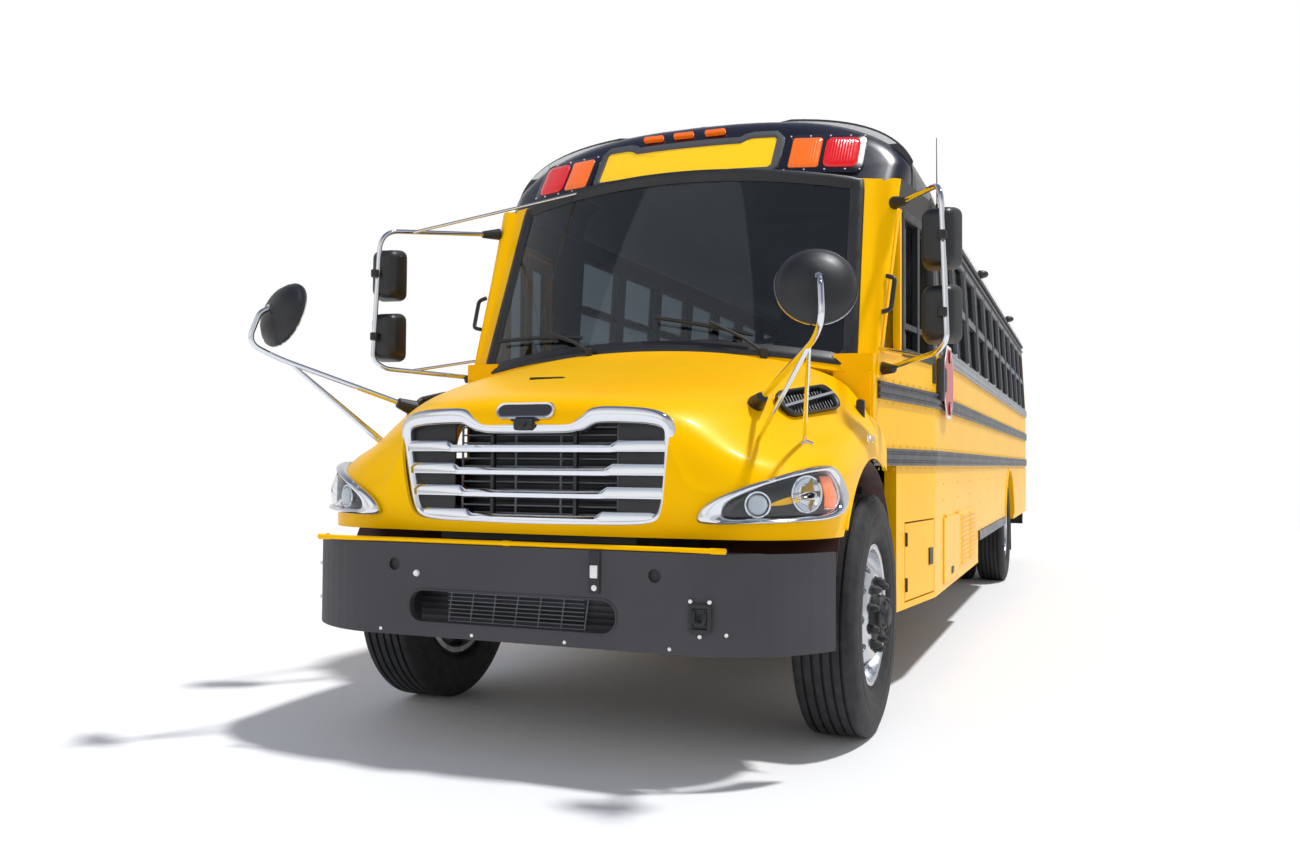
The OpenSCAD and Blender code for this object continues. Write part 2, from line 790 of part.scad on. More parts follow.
// Battery box behind the lower left skirt, with its own door.
batt_y0 = 860;
batt_y1 = 1440;
batt_z0 = 480;
batt_z1 = 870;
function batt_u0() = u_at(batt_y0);
function batt_u1() = u_at(batt_y1 - 20);
module battery_opening(g) {
  cab_plate(wall_t + 20, -10) translate([batt_u0() - g, batt_z0 - g])
    square([batt_u1() - batt_u0() + 2 * g, batt_z1 - batt_z0 + 2 * g]);
}
module battery_door() {
  color("#f5b000") on_row() cab_plate(20) translate([batt_u0(), batt_z0])
    square([batt_u1() - batt_u0(), batt_z1 - batt_z0]);
}
module battery_box() {
  color("#1d1e20") on_row() {
    difference() {
      span([560, batt_y0 - 30, batt_z0 - 30], [1075, batt_y1, batt_z1 + 30]);
      span([580, batt_y0, batt_z0], [1076, batt_y1 - 30, batt_z1]);
    }
    // hangers to the floor
    for (y = [batt_y0, batt_y1 - 60]) span([600, y, batt_z1 + 29], [1000, y + 30, floor_z - floor_t]);
  }
}
module arch_liners() {
  color("#3a1d18") on_row() {
    // inner fender curtains beside the engine, and mud flaps behind the tyres
    both_sides() {
      span([480, 720, 600], [1060, 730, floor_z - floor_t]);
      span([560, wheelbase + 640, 300], [half_w - wall_t - 10, wheelbase + 650, floor_z - floor_t]);
    }
  }
}

// ---------- bumpers ----------

// Plan of the front bumper's face, inset by t: flat in the middle, swept back at its ends.
function bumper_pts(t) =
  let (r = 560, xf = 640, yf = -bumper_reach + t)
  [for (a = [0:6:66]) [xf + (r - t) * sin(a), yf + (r - t) * (1 - cos(a))]];
function reversed(p) = [for (i = [len(p) - 1:-1:0]) p[i]];
function flipped(p) = [for (q = p) [-q[0], q[1]]];
module bumper_plan() {
  outer = bumper_pts(0);
  inner = bumper_pts(bumper_t);
  polygon(concat(reversed(flipped(outer)), outer, reversed(inner), flipped(inner)));
}
tow_x = 560;
tow_z = 760;
tow_r = 25;
module front_bumper() {
  color("#3c3a3e") on_row() {
    difference() {
      translate([0, 0, bumper_z]) linear_extrude(bumper_h) bumper_plan();
      translate([-40, -bumper_reach - 10, 600]) rotate([-90, 0, 0]) linear_extrude(60) rounded_rect(900, 130, 60);
      for (x = [-tow_x, tow_x])
        translate([x, -bumper_reach - 10, tow_z]) rotate([-90, 0, 0]) cylinder(r = tow_r, h = 60);
    }
    // brackets to the frame rails
    both_sides() span([rail_x, -bumper_reach + bumper_t - 1, rail_z + 8], [rail_x + 40, rails_y0 + 120, bumper_top - 10]);
  }
}
plate_x = 89;
plate_z = 570;
module rear_bumper() {
  color("#1d1e20") on_row() {
    difference() {
      span([-1180, rear_y - 30, 440], [1180, rear_y, 700]);
      span([-1160, rear_y - 31, 460], [1160, rear_y - 10, 680]);
      for (x = [-plate_x, plate_x]) translate([x, rear_y - 20, plate_z]) rotate([-90, 0, 0]) cylinder(r = 4, h = 40);
    }
    // drop brackets from the frame rails
    both_sides() {
      span([rail_x, rear_y - 320, 480], [rail_x + 30, rear_y - 215, rail_z + 160]);
      span([rail_x, rear_y - 216, 480], [rail_x + 30, rear_y - 9, rear_skirt_z - 10]);
    }
  }
}

// ---------- wheels ----------

// Cross-section of a tyre about its own centre plane, open towards the rim: (radius, across).
module tyre_section() {
  b = 100;
  w = tyre_w / 2;
  polygon([
    [rim_r, b + 2], [rim_r + 19, b + 5], [rim_r + 32, b + 18], [tyre_r - 150, w], [tyre_r - 60, w - 3], [tyre_r - 12, w - 22],
    [tyre_r, w - 38], [tyre_r, -w + 38], [tyre_r - 12, -w + 22], [tyre_r - 60, -w + 3],
    [tyre_r - 150, -w], [rim_r + 32, -b - 18], [rim_r + 19, -b - 5], [rim_r, -b - 2], [rim_r, -b + 26], [rim_r + 34, -b + 4],
    [tyre_r - 150, -w + 16], [tyre_r - 50, -w + 26], [tyre_r - 28, -w + 60], [tyre_r - 28, w - 60],
    [tyre_r - 50, w - 26], [tyre_r - 150, w - 16], [rim_r + 34, b - 4], [rim_r, b - 26]
  ]);
}
module ring_x(x) { translate([x, 0, 0]) rotate([0, 90, 0]) rotate_extrude($fn = 128) children(); }
module tyre(x) { ring_x(x) tyre_section(); }

// Rim and disc: the disc joins the rim at root and is set out by dish, both from the rim's middle.
module rim_section(dish, root) {
  polygon([
    [rim_r, -74], [rim_r, -103], [rim_r + 18, -106], [rim_r + 18, -112], [rim_r - 8, -112],
    [rim_r - 8, -70], [rim_r - 30, -40], [rim_r - 30, 40], [rim_r - 8, 70], [rim_r - 8, 112],
    [rim_r + 18, 112], [rim_r + 18, 106], [rim_r, 103], [rim_r, 74], [rim_r - 20, 40], [rim_r - 20, -40]
  ]);
  polygon([
    [rim_r - 29, root - 8], [rim_r - 40, root - 8], [stud_pcd / 2 + 40, dish], [40, dish],
    [40, dish + 12], [stud_pcd / 2 + 44, dish + 12], [rim_r - 29, root + 8]
  ]);
}
module disc_holes(dish, root) {
  for (i = [0:stud_count - 1]) rotate([0, 0, i * 360 / stud_count])
    translate([216, 0, min(dish, root) - 20]) cylinder(r = 25, h = abs(dish - root) + 50);
}
module wheel_disc(x, dish, root) {
  translate([x, 0, 0]) rotate([0, 90, 0]) difference() {
    rotate_extrude($fn = 128) rim_section(dish, root);
    disc_holes(dish, root);
  }
}
// Hub with its nuts: bored to run on the spindle.
module hub(x0, x1, flange_x, cap) {
  difference() {
    union() {
      rod_x(x0, x1, 0, 0, 75);
      rod_x(flange_x - 22, flange_x + 1, 0, 0, stud_pcd / 2 + 26);
      rod_x(flange_x, flange_x + cap, 0, 0, 92);
      for (i = [0:stud_count - 1])
        rotate([i * 360 / stud_count, 0, 0]) rod_x(flange_x, flange_x + 60, 0, stud_pcd / 2, 17);
    }
    rod_x(x0 - 1, x1 - 20, 0, 0, spindle_r + fit);
  }
}
front_dish = 60;
module front_wheel() {
  wheel_disc(front_track, front_dish, 0);
  hub(front_track - 60, front_track + 130, front_track + front_dish, 130);
}
module rear_pair() {
  wheel_disc(rear_track + twin_gap / 2, -twin_gap / 2, -45);
  translate([2 * rear_track - twin_gap, 0, 0]) mirror([1, 0, 0])
    wheel_disc(rear_track - twin_gap / 2, -twin_gap / 2, -45);
  hub(rear_track - 220, rear_track + 200, rear_track + 11, 150);
}
module at_axle(y) { translate([0, y, axle_z]) children(); }
module front_left_tyre() { color("#1b1b1c") on_row() at_axle(0) tyre(front_track); }
module front_right_tyre() { color("#1b1b1c") on_row() at_axle(0) tyre(-front_track); }
module front_left_wheel() { color("#c9ccd0") on_row() at_axle(0) front_wheel(); }
module front_right_wheel() { color("#c9ccd0") on_row() at_axle(0) mirror([1, 0, 0]) front_wheel(); }
module twin_tyres(s) {
  for (d = [-1, 1]) tyre(s * (rear_track + d * twin_gap / 2));
}
module rear_left_tyres() { color("#1b1b1c") on_row() at_axle(wheelbase) twin_tyres(1); }
module rear_right_tyres() { color("#1b1b1c") on_row() at_axle(wheelbase) twin_tyres(-1); }
module rear_left_wheels() { color("#c9ccd0") on_row() at_axle(wheelbase) rear_pair(); }
module rear_right_wheels() { color("#c9ccd0") on_row() at_axle(wheelbase) mirror([1, 0, 0]) rear_pair(); }

// Knuckle: a yoke round the axle's end, its kingpin, and the spindle.
module knuckle() {
  for (z = [-115, 62]) {
    translate([kingpin_x, 0, z]) cylinder(r = 46, h = 53);
    span([kingpin_x, -45, z], [kingpin_x + 60, 45, z + 53]);
  }
  span([kingpin_x + 56, -60, -115], [kingpin_x + 84, 60, 115]);
  translate([kingpin_x, 0, -114]) cylinder(r = kingpin_r, h = 228);
  rod_x(kingpin_x + 83, front_track + 100, 0, 0, spindle_r);
}
module left_knuckle() { color("#202124") on_row() at_axle(0) knuckle(); }
module right_knuckle() { color("#202124") on_row() at_axle(0) mirror([1, 0, 0]) knuckle(); }

// ---------- hood ----------

nose_y = -1040;
// Plan of the hood: the nose sweeps back to the fender sides.
module hood_plan(d) {
  offset(delta = -d)
    polygon(concat(
      [[-fender_half_w, hood_rear_y]],
      [for (a = [0:10:90]) [-640 - (fender_half_w - 640) * cos(a), nose_y + 440 * (1 - sin(a))]],
      [for (a = [90:-10:0]) [640 + (fender_half_w - 640) * cos(a), nose_y + 440 * (1 - sin(a))]],
      [[fender_half_w, hood_rear_y]]
    ));
}
// Plan of the raised middle: it narrows from the cowl to the grille.
module hood_mid_plan(d) {
  offset(delta = -d) polygon([
    [-1050, hood_rear_y + 60], [-990, -80], [-840, -640], [-640, nose_y + 40], [-600, nose_y - 60],
    [600, nose_y - 60], [640, nose_y + 40], [840, -640], [990, -80], [1050, hood_rear_y + 60]
  ]);
}
module hood_mid_side(d) {
  offset(delta = -d) polygon([[nose_y - 60, 800], [nose_y - 20, 1390], [nose_y + 60, 1440], [-500, 1560], [0, 1660],
    [hood_rear_y + 60, 1710], [hood_rear_y + 60, 800]]);
}
module hood_mid_front(d) {
  offset(delta = -d) polygon([[-1040, 700], [-1040, 1350], [-900, 1560], [-700, 1680], [-400, 1715], [0, 1722],
    [400, 1715], [700, 1680], [900, 1560], [1040, 1350], [1040, 700]]);
}
module fender_side(d) {
  offset(delta = -d) polygon([[nose_y - 60, 700], [nose_y, 1120], [-800, 1210], [-500, 1270], [-100, 1350],
    [hood_rear_y + 60, 1360], [hood_rear_y + 60, 700]]);
}
module fender_front(d) {
  offset(delta = -d) polygon([[-fender_half_w, 600], [-fender_half_w, 1260], [-1125, 1330], [-1060, 1370],
    [1060, 1370], [1125, 1330], [fender_half_w, 1260], [fender_half_w, 600]]);
}
module hood_mass(d) {
  intersection() {
    translate([0, 0, 500]) linear_extrude(1400) hood_plan(d);
    translate([0, 0, 500]) linear_extrude(1400) hood_mid_plan(d);
    along_x(-1200, 1200) hood_mid_side(d);
    along_y(-1300, 500) hood_mid_front(d);
  }
  intersection() {
    translate([0, 0, 500]) linear_extrude(1400) hood_plan(d);
    along_x(-1200, 1200) fender_side(d);
    along_y(-1300, 500) fender_front(d);
  }
}
grille_w = 1150;
grille_z0 = 935;
grille_z1 = 1350;
hood_centre_y = 105;
module hood() {
  color("#f5b000") on_row() {
    difference() {
      hood_mass(0);
      hood_mass(hood_t);
      span([-1300, hood_rear_y, 0], [1300, 600, 2000]);
      translate([0, hood_centre_y + glass_r, 500]) cylinder(r = glass_r, h = 1600, $fn = 200);
      span([-1300, -1300, 0], [1300, 600, hood_foot_z]);
      rod_x(-1300, 1300, 0, axle_z, arch_r);
      span([-grille_w / 2, -1300, grille_z0], [grille_w / 2, -900, grille_z1 - 20]);
      both_sides() span([740, -1300, 970], [1100, -600, 1130]);
    }
  }
}
module grille() {
  color("#d9dce0") on_row() difference() {
    union() {
      difference() {
        span([-grille_w / 2 + seat, nose_y - 20, grille_z0 + seat], [grille_w / 2 - seat, nose_y + 30, grille_z1 - 20 - seat]);
        span([-grille_w / 2 + 40, nose_y - 21, grille_z0 + 40], [grille_w / 2 - 40, nose_y + 31, grille_z1 - 60]);
      }
      for (i = [0:2])
        span([-grille_w / 2 + 30, nose_y - 15, 1030 + i * 85], [grille_w / 2 - 30, nose_y + 20, 1055 + i * 85]);
    }
  }
}
module headlamps() {
  color("#c8ccd0") on_row() both_sides() intersection() {
    difference() {
      translate([0, 0, 500]) linear_extrude(1400) hood_plan(2);
      translate([0, 0, 499]) linear_extrude(1402) hood_plan(60);
    }
    span([740 + seat, -1300, 970 + seat], [1100 - seat, -600 - seat, 1130 - seat]);
  }
}

// ---------- mirrors ----------

mirror_top_y = 700;
mirror_foot_y = 500;
mirror_top_z = 2470;
mirror_foot_z = 1620;
mirror_stand = 60;
module mirror_bracket(y, z) {
  cab_plate(mirror_stand, -mirror_stand - seat) translate([u_at(y) - 25, z - 35]) square([50, 70]);
}
module main_mirror() {
  mirror_bracket(mirror_top_y, mirror_top_z);
  mirror_bracket(mirror_foot_y, mirror_foot_z);
  tube_path([
    [cab_x(mirror_top_y) + 35, mirror_top_y, mirror_top_z], [1460, 0, 2370], [1467, -20, 1720],
    [cab_x(mirror_foot_y) + 35, mirror_foot_y, mirror_foot_z]
  ], 13);
  for (z = [2151, 1820]) span([1370, -10, z - 135], [1530, 90, z + 135]);
}
module main_mirrors() { color("#1c1d20") on_row() both_sides() main_mirror(); }
dish_c = [1151, -1060, 1790];
foot_c = [1000, -600, 1250];
foot_tilt = atan(60 / 300);
module crossview() {
  translate(foot_c) rotate([foot_tilt, 0, 0]) translate([0, 0, seat]) cylinder(r = 26, h = 14);
  tube_path([foot_c + [0, 0, 12], [1120, -mirror_reach + 13.5, 1600], dish_c + [0, 0, -30]], 12);
  translate(dish_c) rotate([70, 0, 20]) cylinder(r = 140, h = 50);
}
module crossview_mirrors() { color("#1c1d20") on_row() both_sides() crossview(); }

// ---------- stop arm and crossing arm ----------

module stop_arm() {
  color("#c01818") on_row() translate([half_w + stop_stand - 14, stop_y, stop_z]) rotate([90, 0, 90])
    linear_extrude(14) {
      translate([240, 0]) rotate(22.5) circle(r = 230, $fn = 8);
      translate([0, -60]) square([60, 120]);
    }
}
arm_x0 = -960;
arm_t = 20;
arm_lift = 0.4;
module crossing_arm() {
  color("#f5b000") on_row()
    span([arm_x0, -bumper_reach, bumper_top + arm_lift], [arm_x0 + crossing_len, -bumper_reach + arm_t, bumper_top + 24]);
}

frame_rails();
front_axle();
rear_axle();
driveshaft();
leaf_springs();
engine();
radiator();
front_bumper();
rear_bumper();
floor();
wheel_housings();
entry_steps();
left_side();
right_side();
driver_section();
door_section();
roof();
front_cap();
rear_wall();
cowl();
windshield();
side_glass();
window_sashes();
seats();
driver_seat();
dashboard();
side_trim();
warning_lamps();
fuel_tank();
battery_box();
arch_liners();
main_mirrors();
hood();
grille();
headlamps();
crossview_mirrors();
left_knuckle();
right_knuckle();
front_left_tyre();
front_left_wheel();
front_right_tyre();
front_right_wheel();
rear_left_tyres();
rear_left_wheels();
rear_right_tyres();
rear_right_wheels();
steering_wheel();
front_door_leaf();
front_door_glass();
rear_door_leaf();
rear_door_glass();
emergency_door();
emergency_glass();
battery_door();
stop_arm();
crossing_arm();
front_hatch();
rear_hatch();
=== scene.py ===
# School bus: finishes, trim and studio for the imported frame. Metres, +Z up, the bus faces -Y.
import bpy
import bmesh
from math import copysign, cos, exp, hypot, pi, radians, sin, sqrt, tan
from mathutils import Matrix, Vector


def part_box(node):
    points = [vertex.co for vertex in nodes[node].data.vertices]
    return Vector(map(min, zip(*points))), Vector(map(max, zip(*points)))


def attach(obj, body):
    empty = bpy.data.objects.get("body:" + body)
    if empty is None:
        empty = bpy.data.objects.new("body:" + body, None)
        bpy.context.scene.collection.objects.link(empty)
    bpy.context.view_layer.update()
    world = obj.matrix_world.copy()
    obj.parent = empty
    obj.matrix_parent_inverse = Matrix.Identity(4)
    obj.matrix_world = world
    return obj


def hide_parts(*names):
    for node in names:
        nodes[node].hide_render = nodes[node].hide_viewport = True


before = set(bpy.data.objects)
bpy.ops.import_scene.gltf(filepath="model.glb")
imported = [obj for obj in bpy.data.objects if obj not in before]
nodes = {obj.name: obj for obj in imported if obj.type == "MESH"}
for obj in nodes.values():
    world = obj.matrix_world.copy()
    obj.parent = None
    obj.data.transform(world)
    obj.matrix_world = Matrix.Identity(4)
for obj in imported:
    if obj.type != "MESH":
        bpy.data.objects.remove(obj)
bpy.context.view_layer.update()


def middle(nodeName, axis):
    lo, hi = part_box(nodeName)
    return (lo[axis] + hi[axis]) / 2


frontAxle = middle("front_left_tyre", 1)
rearAxle = middle("rear_left_tyres", 1)
wheelZ = middle("front_left_tyre", 2)
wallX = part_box("left_side")[1][0]
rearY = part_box("rear_bumper")[1][1]


# a place measured back from the front axle
def at(x, y, z):
    return Vector((x, frontAxle + y, z))


# ---- small helpers for modelling ----

def clearSelection():
    if bpy.context.object and bpy.context.object.mode != "OBJECT":
        bpy.ops.object.mode_set(mode="OBJECT")
    bpy.ops.object.select_all(action="DESELECT")


def pick(piece):
    clearSelection()
    piece.select_set(True)
    bpy.context.view_layer.objects.active = piece


def settle(piece):
    pick(piece)
    bpy.ops.object.transform_apply(location=True, rotation=True, scale=True)
    return piece


def modify(piece, kind, **settings):
    pick(piece)
    modifier = piece.modifiers.new(kind.title(), kind)
    for key, value in settings.items():
        setattr(modifier, key, value)
    bpy.ops.object.modifier_apply(modifier=modifier.name)
    return piece


def smooth(piece, angle=32):
    pick(piece)
    bpy.ops.object.shade_smooth_by_angle(angle=radians(angle))
    return piece


def recalculate(piece):
    pick(piece)
    bpy.ops.object.mode_set(mode="EDIT")
    bpy.ops.mesh.select_all(action="SELECT")
    bpy.ops.mesh.remove_doubles(threshold=0.00005)
    bpy.ops.mesh.normals_make_consistent(inside=False)
    bpy.ops.object.mode_set(mode="OBJECT")
    return piece


def join(name, pieces):
    clearSelection()
    for piece in pieces:
        piece.select_set(True)
    bpy.context.view_layer.objects.active = pieces[0]
    bpy.ops.object.join()
    pieces[0].name = name
    return pieces[0]


def block(name, lo, hi, bevel=0.0, segments=2):
    clearSelection()
    lo, hi = Vector(lo), Vector(hi)
    bpy.ops.mesh.primitive_cube_add(size=1, location=(lo + hi) / 2)
    piece = bpy.context.object
    piece.name = name
    piece.scale = [abs(hi[i] - lo[i]) for i in range(3)]
    settle(piece)
    if bevel:
        modify(piece, "BEVEL", width=bevel, segments=segments, limit_method="ANGLE")
    return piece


def rod(name, start, end, radius, vertices=24, tip=None, bevel=0.0):
    clearSelection()
    start, end = Vector(start), Vector(end)
    way = end - start
    bpy.ops.mesh.primitive_cone_add(vertices=vertices, radius1=radius,
        radius2=radius if tip is None else tip,
        depth=way.length, location=(start + end) / 2)
    piece = bpy.context.object
    piece.name = name
    piece.rotation_euler = way.to_track_quat("Z", "Y").to_euler()
    settle(piece)
    if bevel:
        modify(piece, "BEVEL", width=bevel, segments=2, limit_method="ANGLE", angle_limit=radians(50))
    return piece


# points in, closed or open mesh out: each row is joined to the next
def skin(name, rows, closeRows=False, closeEnds=False, capEnds=False):
    count = len(rows[0])
    points = [point for row in rows for point in row]
    faces = []
    last = len(rows) if closeEnds else len(rows) - 1
    for i in range(last):
        a, b = i * count, ((i + 1) % len(rows)) * count
        for j in range(count if closeRows else count - 1):
            k = (j + 1) % count
            faces.append((a + j, a + k, b + k, b + j))
    if capEnds:
        faces.append(tuple(range(count))[::-1])
        faces.append(tuple((len(rows) - 1) * count + j for j in range(count)))
    mesh = bpy.data.meshes.new(name)
    mesh.from_pydata([tuple(point) for point in points], [], faces)
    piece = bpy.data.objects.new(name, mesh)
    bpy.context.scene.collection.objects.link(piece)
    return recalculate(piece)


# a closed form skinned over its rows, smoothed up to the angle
def formed(name, rows, angle):
    return smooth(skin(name, rows, closeRows=True, capEnds=True), angle)



# a bent round bar with swept corners
def bar(name, points, radius, corner=0.06, steps=6, sides=14, closed=False):
    points = [Vector(point) for point in points]
    path = [points[0]]
    for i in range(1, len(points) - 1):
        before, here, after = points[i - 1], points[i], points[i + 1]
        reach = min(corner, (before - here).length * 0.45, (after - here).length * 0.45)
        a = here + (before - here).normalized() * reach
        b = here + (after - here).normalized() * reach
        for s in range(steps + 1):
            t = s / steps
            path.append(a * (1 - t) ** 2 + here * 2 * t * (1 - t) + b * t ** 2)
    path.append(points[-1])
    rings = []
    side = None
    for i, point in enumerate(path):
        way = (path[min(i + 1, len(path) - 1)] - path[max(i - 1, 0)]).normalized()
        if side is None:
            side = way.orthogonal().normalized()
        side = (side - way * side.dot(way)).normalized()
        up = way.cross(side)
        rings.append([point + side * radius * cos(2 * pi * j / sides)
            + up * radius * sin(2 * pi * j / sides) for j in range(sides)])
    return formed(name, rings, 50)


# a closed smooth outline through a few given points
def rounded(points, steps=8):
    result = []
    count = len(points)
    for i in range(count):
        p = [Vector(points[(i + k - 1) % count]) for k in range(4)]
        for s in range(steps):
            t = s / steps
            result.append(0.5 * (2 * p[1] + (p[2] - p[0]) * t
                + (2 * p[0] - 5 * p[1] + 4 * p[2] - p[3]) * t * t
                + (3 * p[1] - p[0] - 3 * p[2] + p[3]) * t ** 3))
    return result


# an upright rounded rectangle as points in its own plane
def roundedBox(width, height, radius, steps=5):
    points = []
    for cx, cy, start in ((1, 1, 0), (-1, 1, 90), (-1, -1, 180), (1, -1, 270)):
        for s in range(steps + 1):
            angle = radians(start + 90 * s / steps)
            points.append((cx * (width / 2 - radius) + radius * cos(angle),
                cy * (height / 2 - radius) + radius * sin(angle)))
    return points


# a plate of the outline's points, placed by a matrix whose Z is its thickness
def plate(name, outline, thickness, place, bevel=0.0, segments=2):
    rows = [[place @ Vector((x, y, depth)) for x, y in outline] for depth in (0, thickness)]
    piece = skin(name, rows, closeRows=True, capEnds=True)
    if bevel:
        modify(piece, "BEVEL", width=bevel, segments=segments, limit_method="ANGLE",
            angle_limit=radians(50))
    return smooth(piece)


def cut(piece, cutter, solver="EXACT"):
    modify(piece, "BOOLEAN", object=cutter, operation="DIFFERENCE", solver=solver)
    bpy.data.objects.remove(cutter, do_unlink=True)
    return piece


def copyOf(piece, name, matrix):
    twin = piece.copy()
    twin.data = piece.data.copy()
    twin.name = name
    bpy.context.scene.collection.objects.link(twin)
    twin.data.transform(matrix)
    if matrix.determinant() < 0:
        twin.data.flip_normals()
    return twin


mirrorX = Matrix.Scale(-1, 4, (1, 0, 0))


def bothSides(name, piece):
    return join(name, [piece, copyOf(piece, name + "Twin", mirrorX)])


def dress(piece, body, finish, replaced=()):
    piece.data.materials.clear()
    piece.data.materials.append(finish)
    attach(piece, body)
    if replaced:
        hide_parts(*replaced)
    return piece


# ---- finishes ----

def linear(hexColor):
    parts = [int(hexColor[i:i + 2], 16) / 255 for i in (1, 3, 5)]
    return [c / 12.92 if c <= 0.04045 else ((c + 0.055) / 1.055) ** 2.4 for c in parts] + [1.0]


def addNode(tree, kind, inputs=None, **settings):
    new = tree.nodes.new(kind)
    for key, value in settings.items():
        setattr(new, key, value)
    for key, value in (inputs or {}).items():
        if isinstance(value, bpy.types.NodeSocket):
            tree.links.new(value, new.inputs[key])
        else:
            new.inputs[key].default_value = value
    return new


def finish(name, color, roughness, **shaderInputs):
    material = bpy.data.materials.new(name)
    material.use_nodes = True
    shader = material.node_tree.nodes["Principled BSDF"]
    shader.inputs["Base Color"].default_value = linear(color)
    shader.inputs["Roughness"].default_value = roughness
    for key, value in shaderInputs.items():
        shader.inputs[key.replace("_", " ")].default_value = value
    return material, material.node_tree, shader


def place(tree, scale=(1, 1, 1)):
    coordinates = addNode(tree, "ShaderNodeTexCoord")
    return addNode(tree, "ShaderNodeMapping", {"Vector": coordinates.outputs["Object"], "Scale": scale}).outputs[0]


# fine relief from noise: grain is the size of one bump in millimetres
def grainBump(tree, shader, grain, height, detail=3.0):
    noise = addNode(tree, "ShaderNodeTexNoise", {"Vector": place(tree), "Scale": 1000 / grain, "Detail": detail})
    bump = addNode(tree, "ShaderNodeBump", {"Height": noise.outputs["Fac"], "Strength": 1.0,
        "Distance": height / 1000})
    tree.links.new(bump.outputs[0], shader.inputs["Normal"])
    return noise


# two close colours in soft patches, each patch about size millimetres
def patches(tree, first, second, size, low=0.35, high=0.65):
    noise = addNode(tree, "ShaderNodeTexNoise", {"Vector": place(tree), "Scale": 1000 / size, "Detail": 4.0})
    ramp = addNode(tree, "ShaderNodeValToRGB", {"Fac": noise.outputs["Fac"]})
    ramp.color_ramp.elements[0].position = low
    ramp.color_ramp.elements[1].position = high
    ramp.color_ramp.elements[0].color = linear(first)
    ramp.color_ramp.elements[1].color = linear(second)
    return ramp.outputs["Color"]


def roughnessPatches(tree, shader, low, high, size):
    noise = addNode(tree, "ShaderNodeTexNoise", {"Vector": place(tree), "Scale": 1000 / size, "Detail": 5.0})
    spread = addNode(tree, "ShaderNodeMapRange", {"Value": noise.outputs["Fac"], "From Min": 0.3, "From Max": 0.7,
        "To Min": low, "To Max": high})
    tree.links.new(spread.outputs[0], shader.inputs["Roughness"])


enamelLook = {"color": "#FFC400", "warm": "#FFBC00", "roughness": 0.32, "coat": 0.05, "shine": 0.16,
    "glow": "#FFCE4A", "peel": 9.0}


# sprayed two-pack enamel: glossy, with a faint orange-peel ripple
def makeEnamel():
    material, tree, shader = finish("sprayedYellowEnamel", enamelLook["color"], enamelLook["roughness"],
        Coat_Weight=enamelLook["coat"], Coat_Roughness=0.05,
        Specular_IOR_Level=enamelLook["shine"],
        Specular_Tint=linear(enamelLook["glow"]))
    tree.links.new(patches(tree, enamelLook["color"], enamelLook["warm"], 900), shader.inputs["Base Color"])
    grainBump(tree, shader, enamelLook["peel"], 0.02, 1.0)
    return material


# the same enamel on a side wall, masked to black from the sill to the eave
def makeSideEnamel(low, high, frontY, frontZ):
    material, tree, shader = finish("sideEnamelWithBlackBand", enamelLook["color"], enamelLook["roughness"],
        Coat_Weight=enamelLook["coat"], Coat_Roughness=0.05,
        Specular_IOR_Level=enamelLook["shine"],
        Specular_Tint=linear(enamelLook["glow"]))
    spot = addNode(tree, "ShaderNodeSeparateXYZ", {"Vector": place(tree)})
    above = addNode(tree, "ShaderNodeMath", {0: spot.outputs["Z"], 1: low}, operation="GREATER_THAN")
    below = addNode(tree, "ShaderNodeMath", {0: spot.outputs["Z"], 1: high}, operation="LESS_THAN")
    band = addNode(tree, "ShaderNodeMath", {0: above.outputs[0], 1: below.outputs[0]}, operation="MULTIPLY")
    ahead = addNode(tree, "ShaderNodeMath", {0: spot.outputs["Y"], 1: frontY}, operation="LESS_THAN")
    upper = addNode(tree, "ShaderNodeMath", {0: spot.outputs["Z"], 1: frontZ}, operation="GREATER_THAN")
    brow = addNode(tree, "ShaderNodeMath", {0: ahead.outputs[0], 1: upper.outputs[0]}, operation="MULTIPLY")
    band = addNode(tree, "ShaderNodeMath", {0: band.outputs[0], 1: brow.outputs[0]}, operation="MAXIMUM")
    mix = addNode(tree, "ShaderNodeMix", {"Factor": band.outputs[0],
        "A": patches(tree, enamelLook["color"], enamelLook["warm"], 900),
        "B": linear("#17181B")}, data_type="RGBA")
    tree.links.new(mix.outputs["Result"], shader.inputs["Base Color"])
    grainBump(tree, shader, enamelLook["peel"], 0.02, 1.0)
    return material


# roof sheets: white enamel, black at the gutter and over the driver
def makeRoofEnamel(gutterZ, panelY, panelZ):
    material, tree, shader = finish("whiteRoofEnamel", "#E6E7E6", 0.35, Coat_Weight=0.2)
    spot = addNode(tree, "ShaderNodeSeparateXYZ", {"Vector": place(tree)})
    gutter = addNode(tree, "ShaderNodeMath", {0: spot.outputs["Z"], 1: gutterZ}, operation="LESS_THAN")
    ahead = addNode(tree, "ShaderNodeMath", {0: spot.outputs["Y"], 1: panelY}, operation="LESS_THAN")
    low = addNode(tree, "ShaderNodeMath", {0: spot.outputs["Z"], 1: panelZ}, operation="LESS_THAN")
    panel = addNode(tree, "ShaderNodeMath", {0: ahead.outputs[0], 1: low.outputs[0]}, operation="MULTIPLY")
    dark = addNode(tree, "ShaderNodeMath", {0: gutter.outputs[0], 1: panel.outputs[0]}, operation="MAXIMUM")
    mix = addNode(tree, "ShaderNodeMix", {"Factor": dark.outputs[0],
        "A": patches(tree, "#E8E9E8", "#DFE0DE", 700),
        "B": linear("#17181D")}, data_type="RGBA")
    tree.links.new(mix.outputs["Result"], shader.inputs["Base Color"])
    grainBump(tree, shader, 12.0, 0.03, 1.0)
    return material


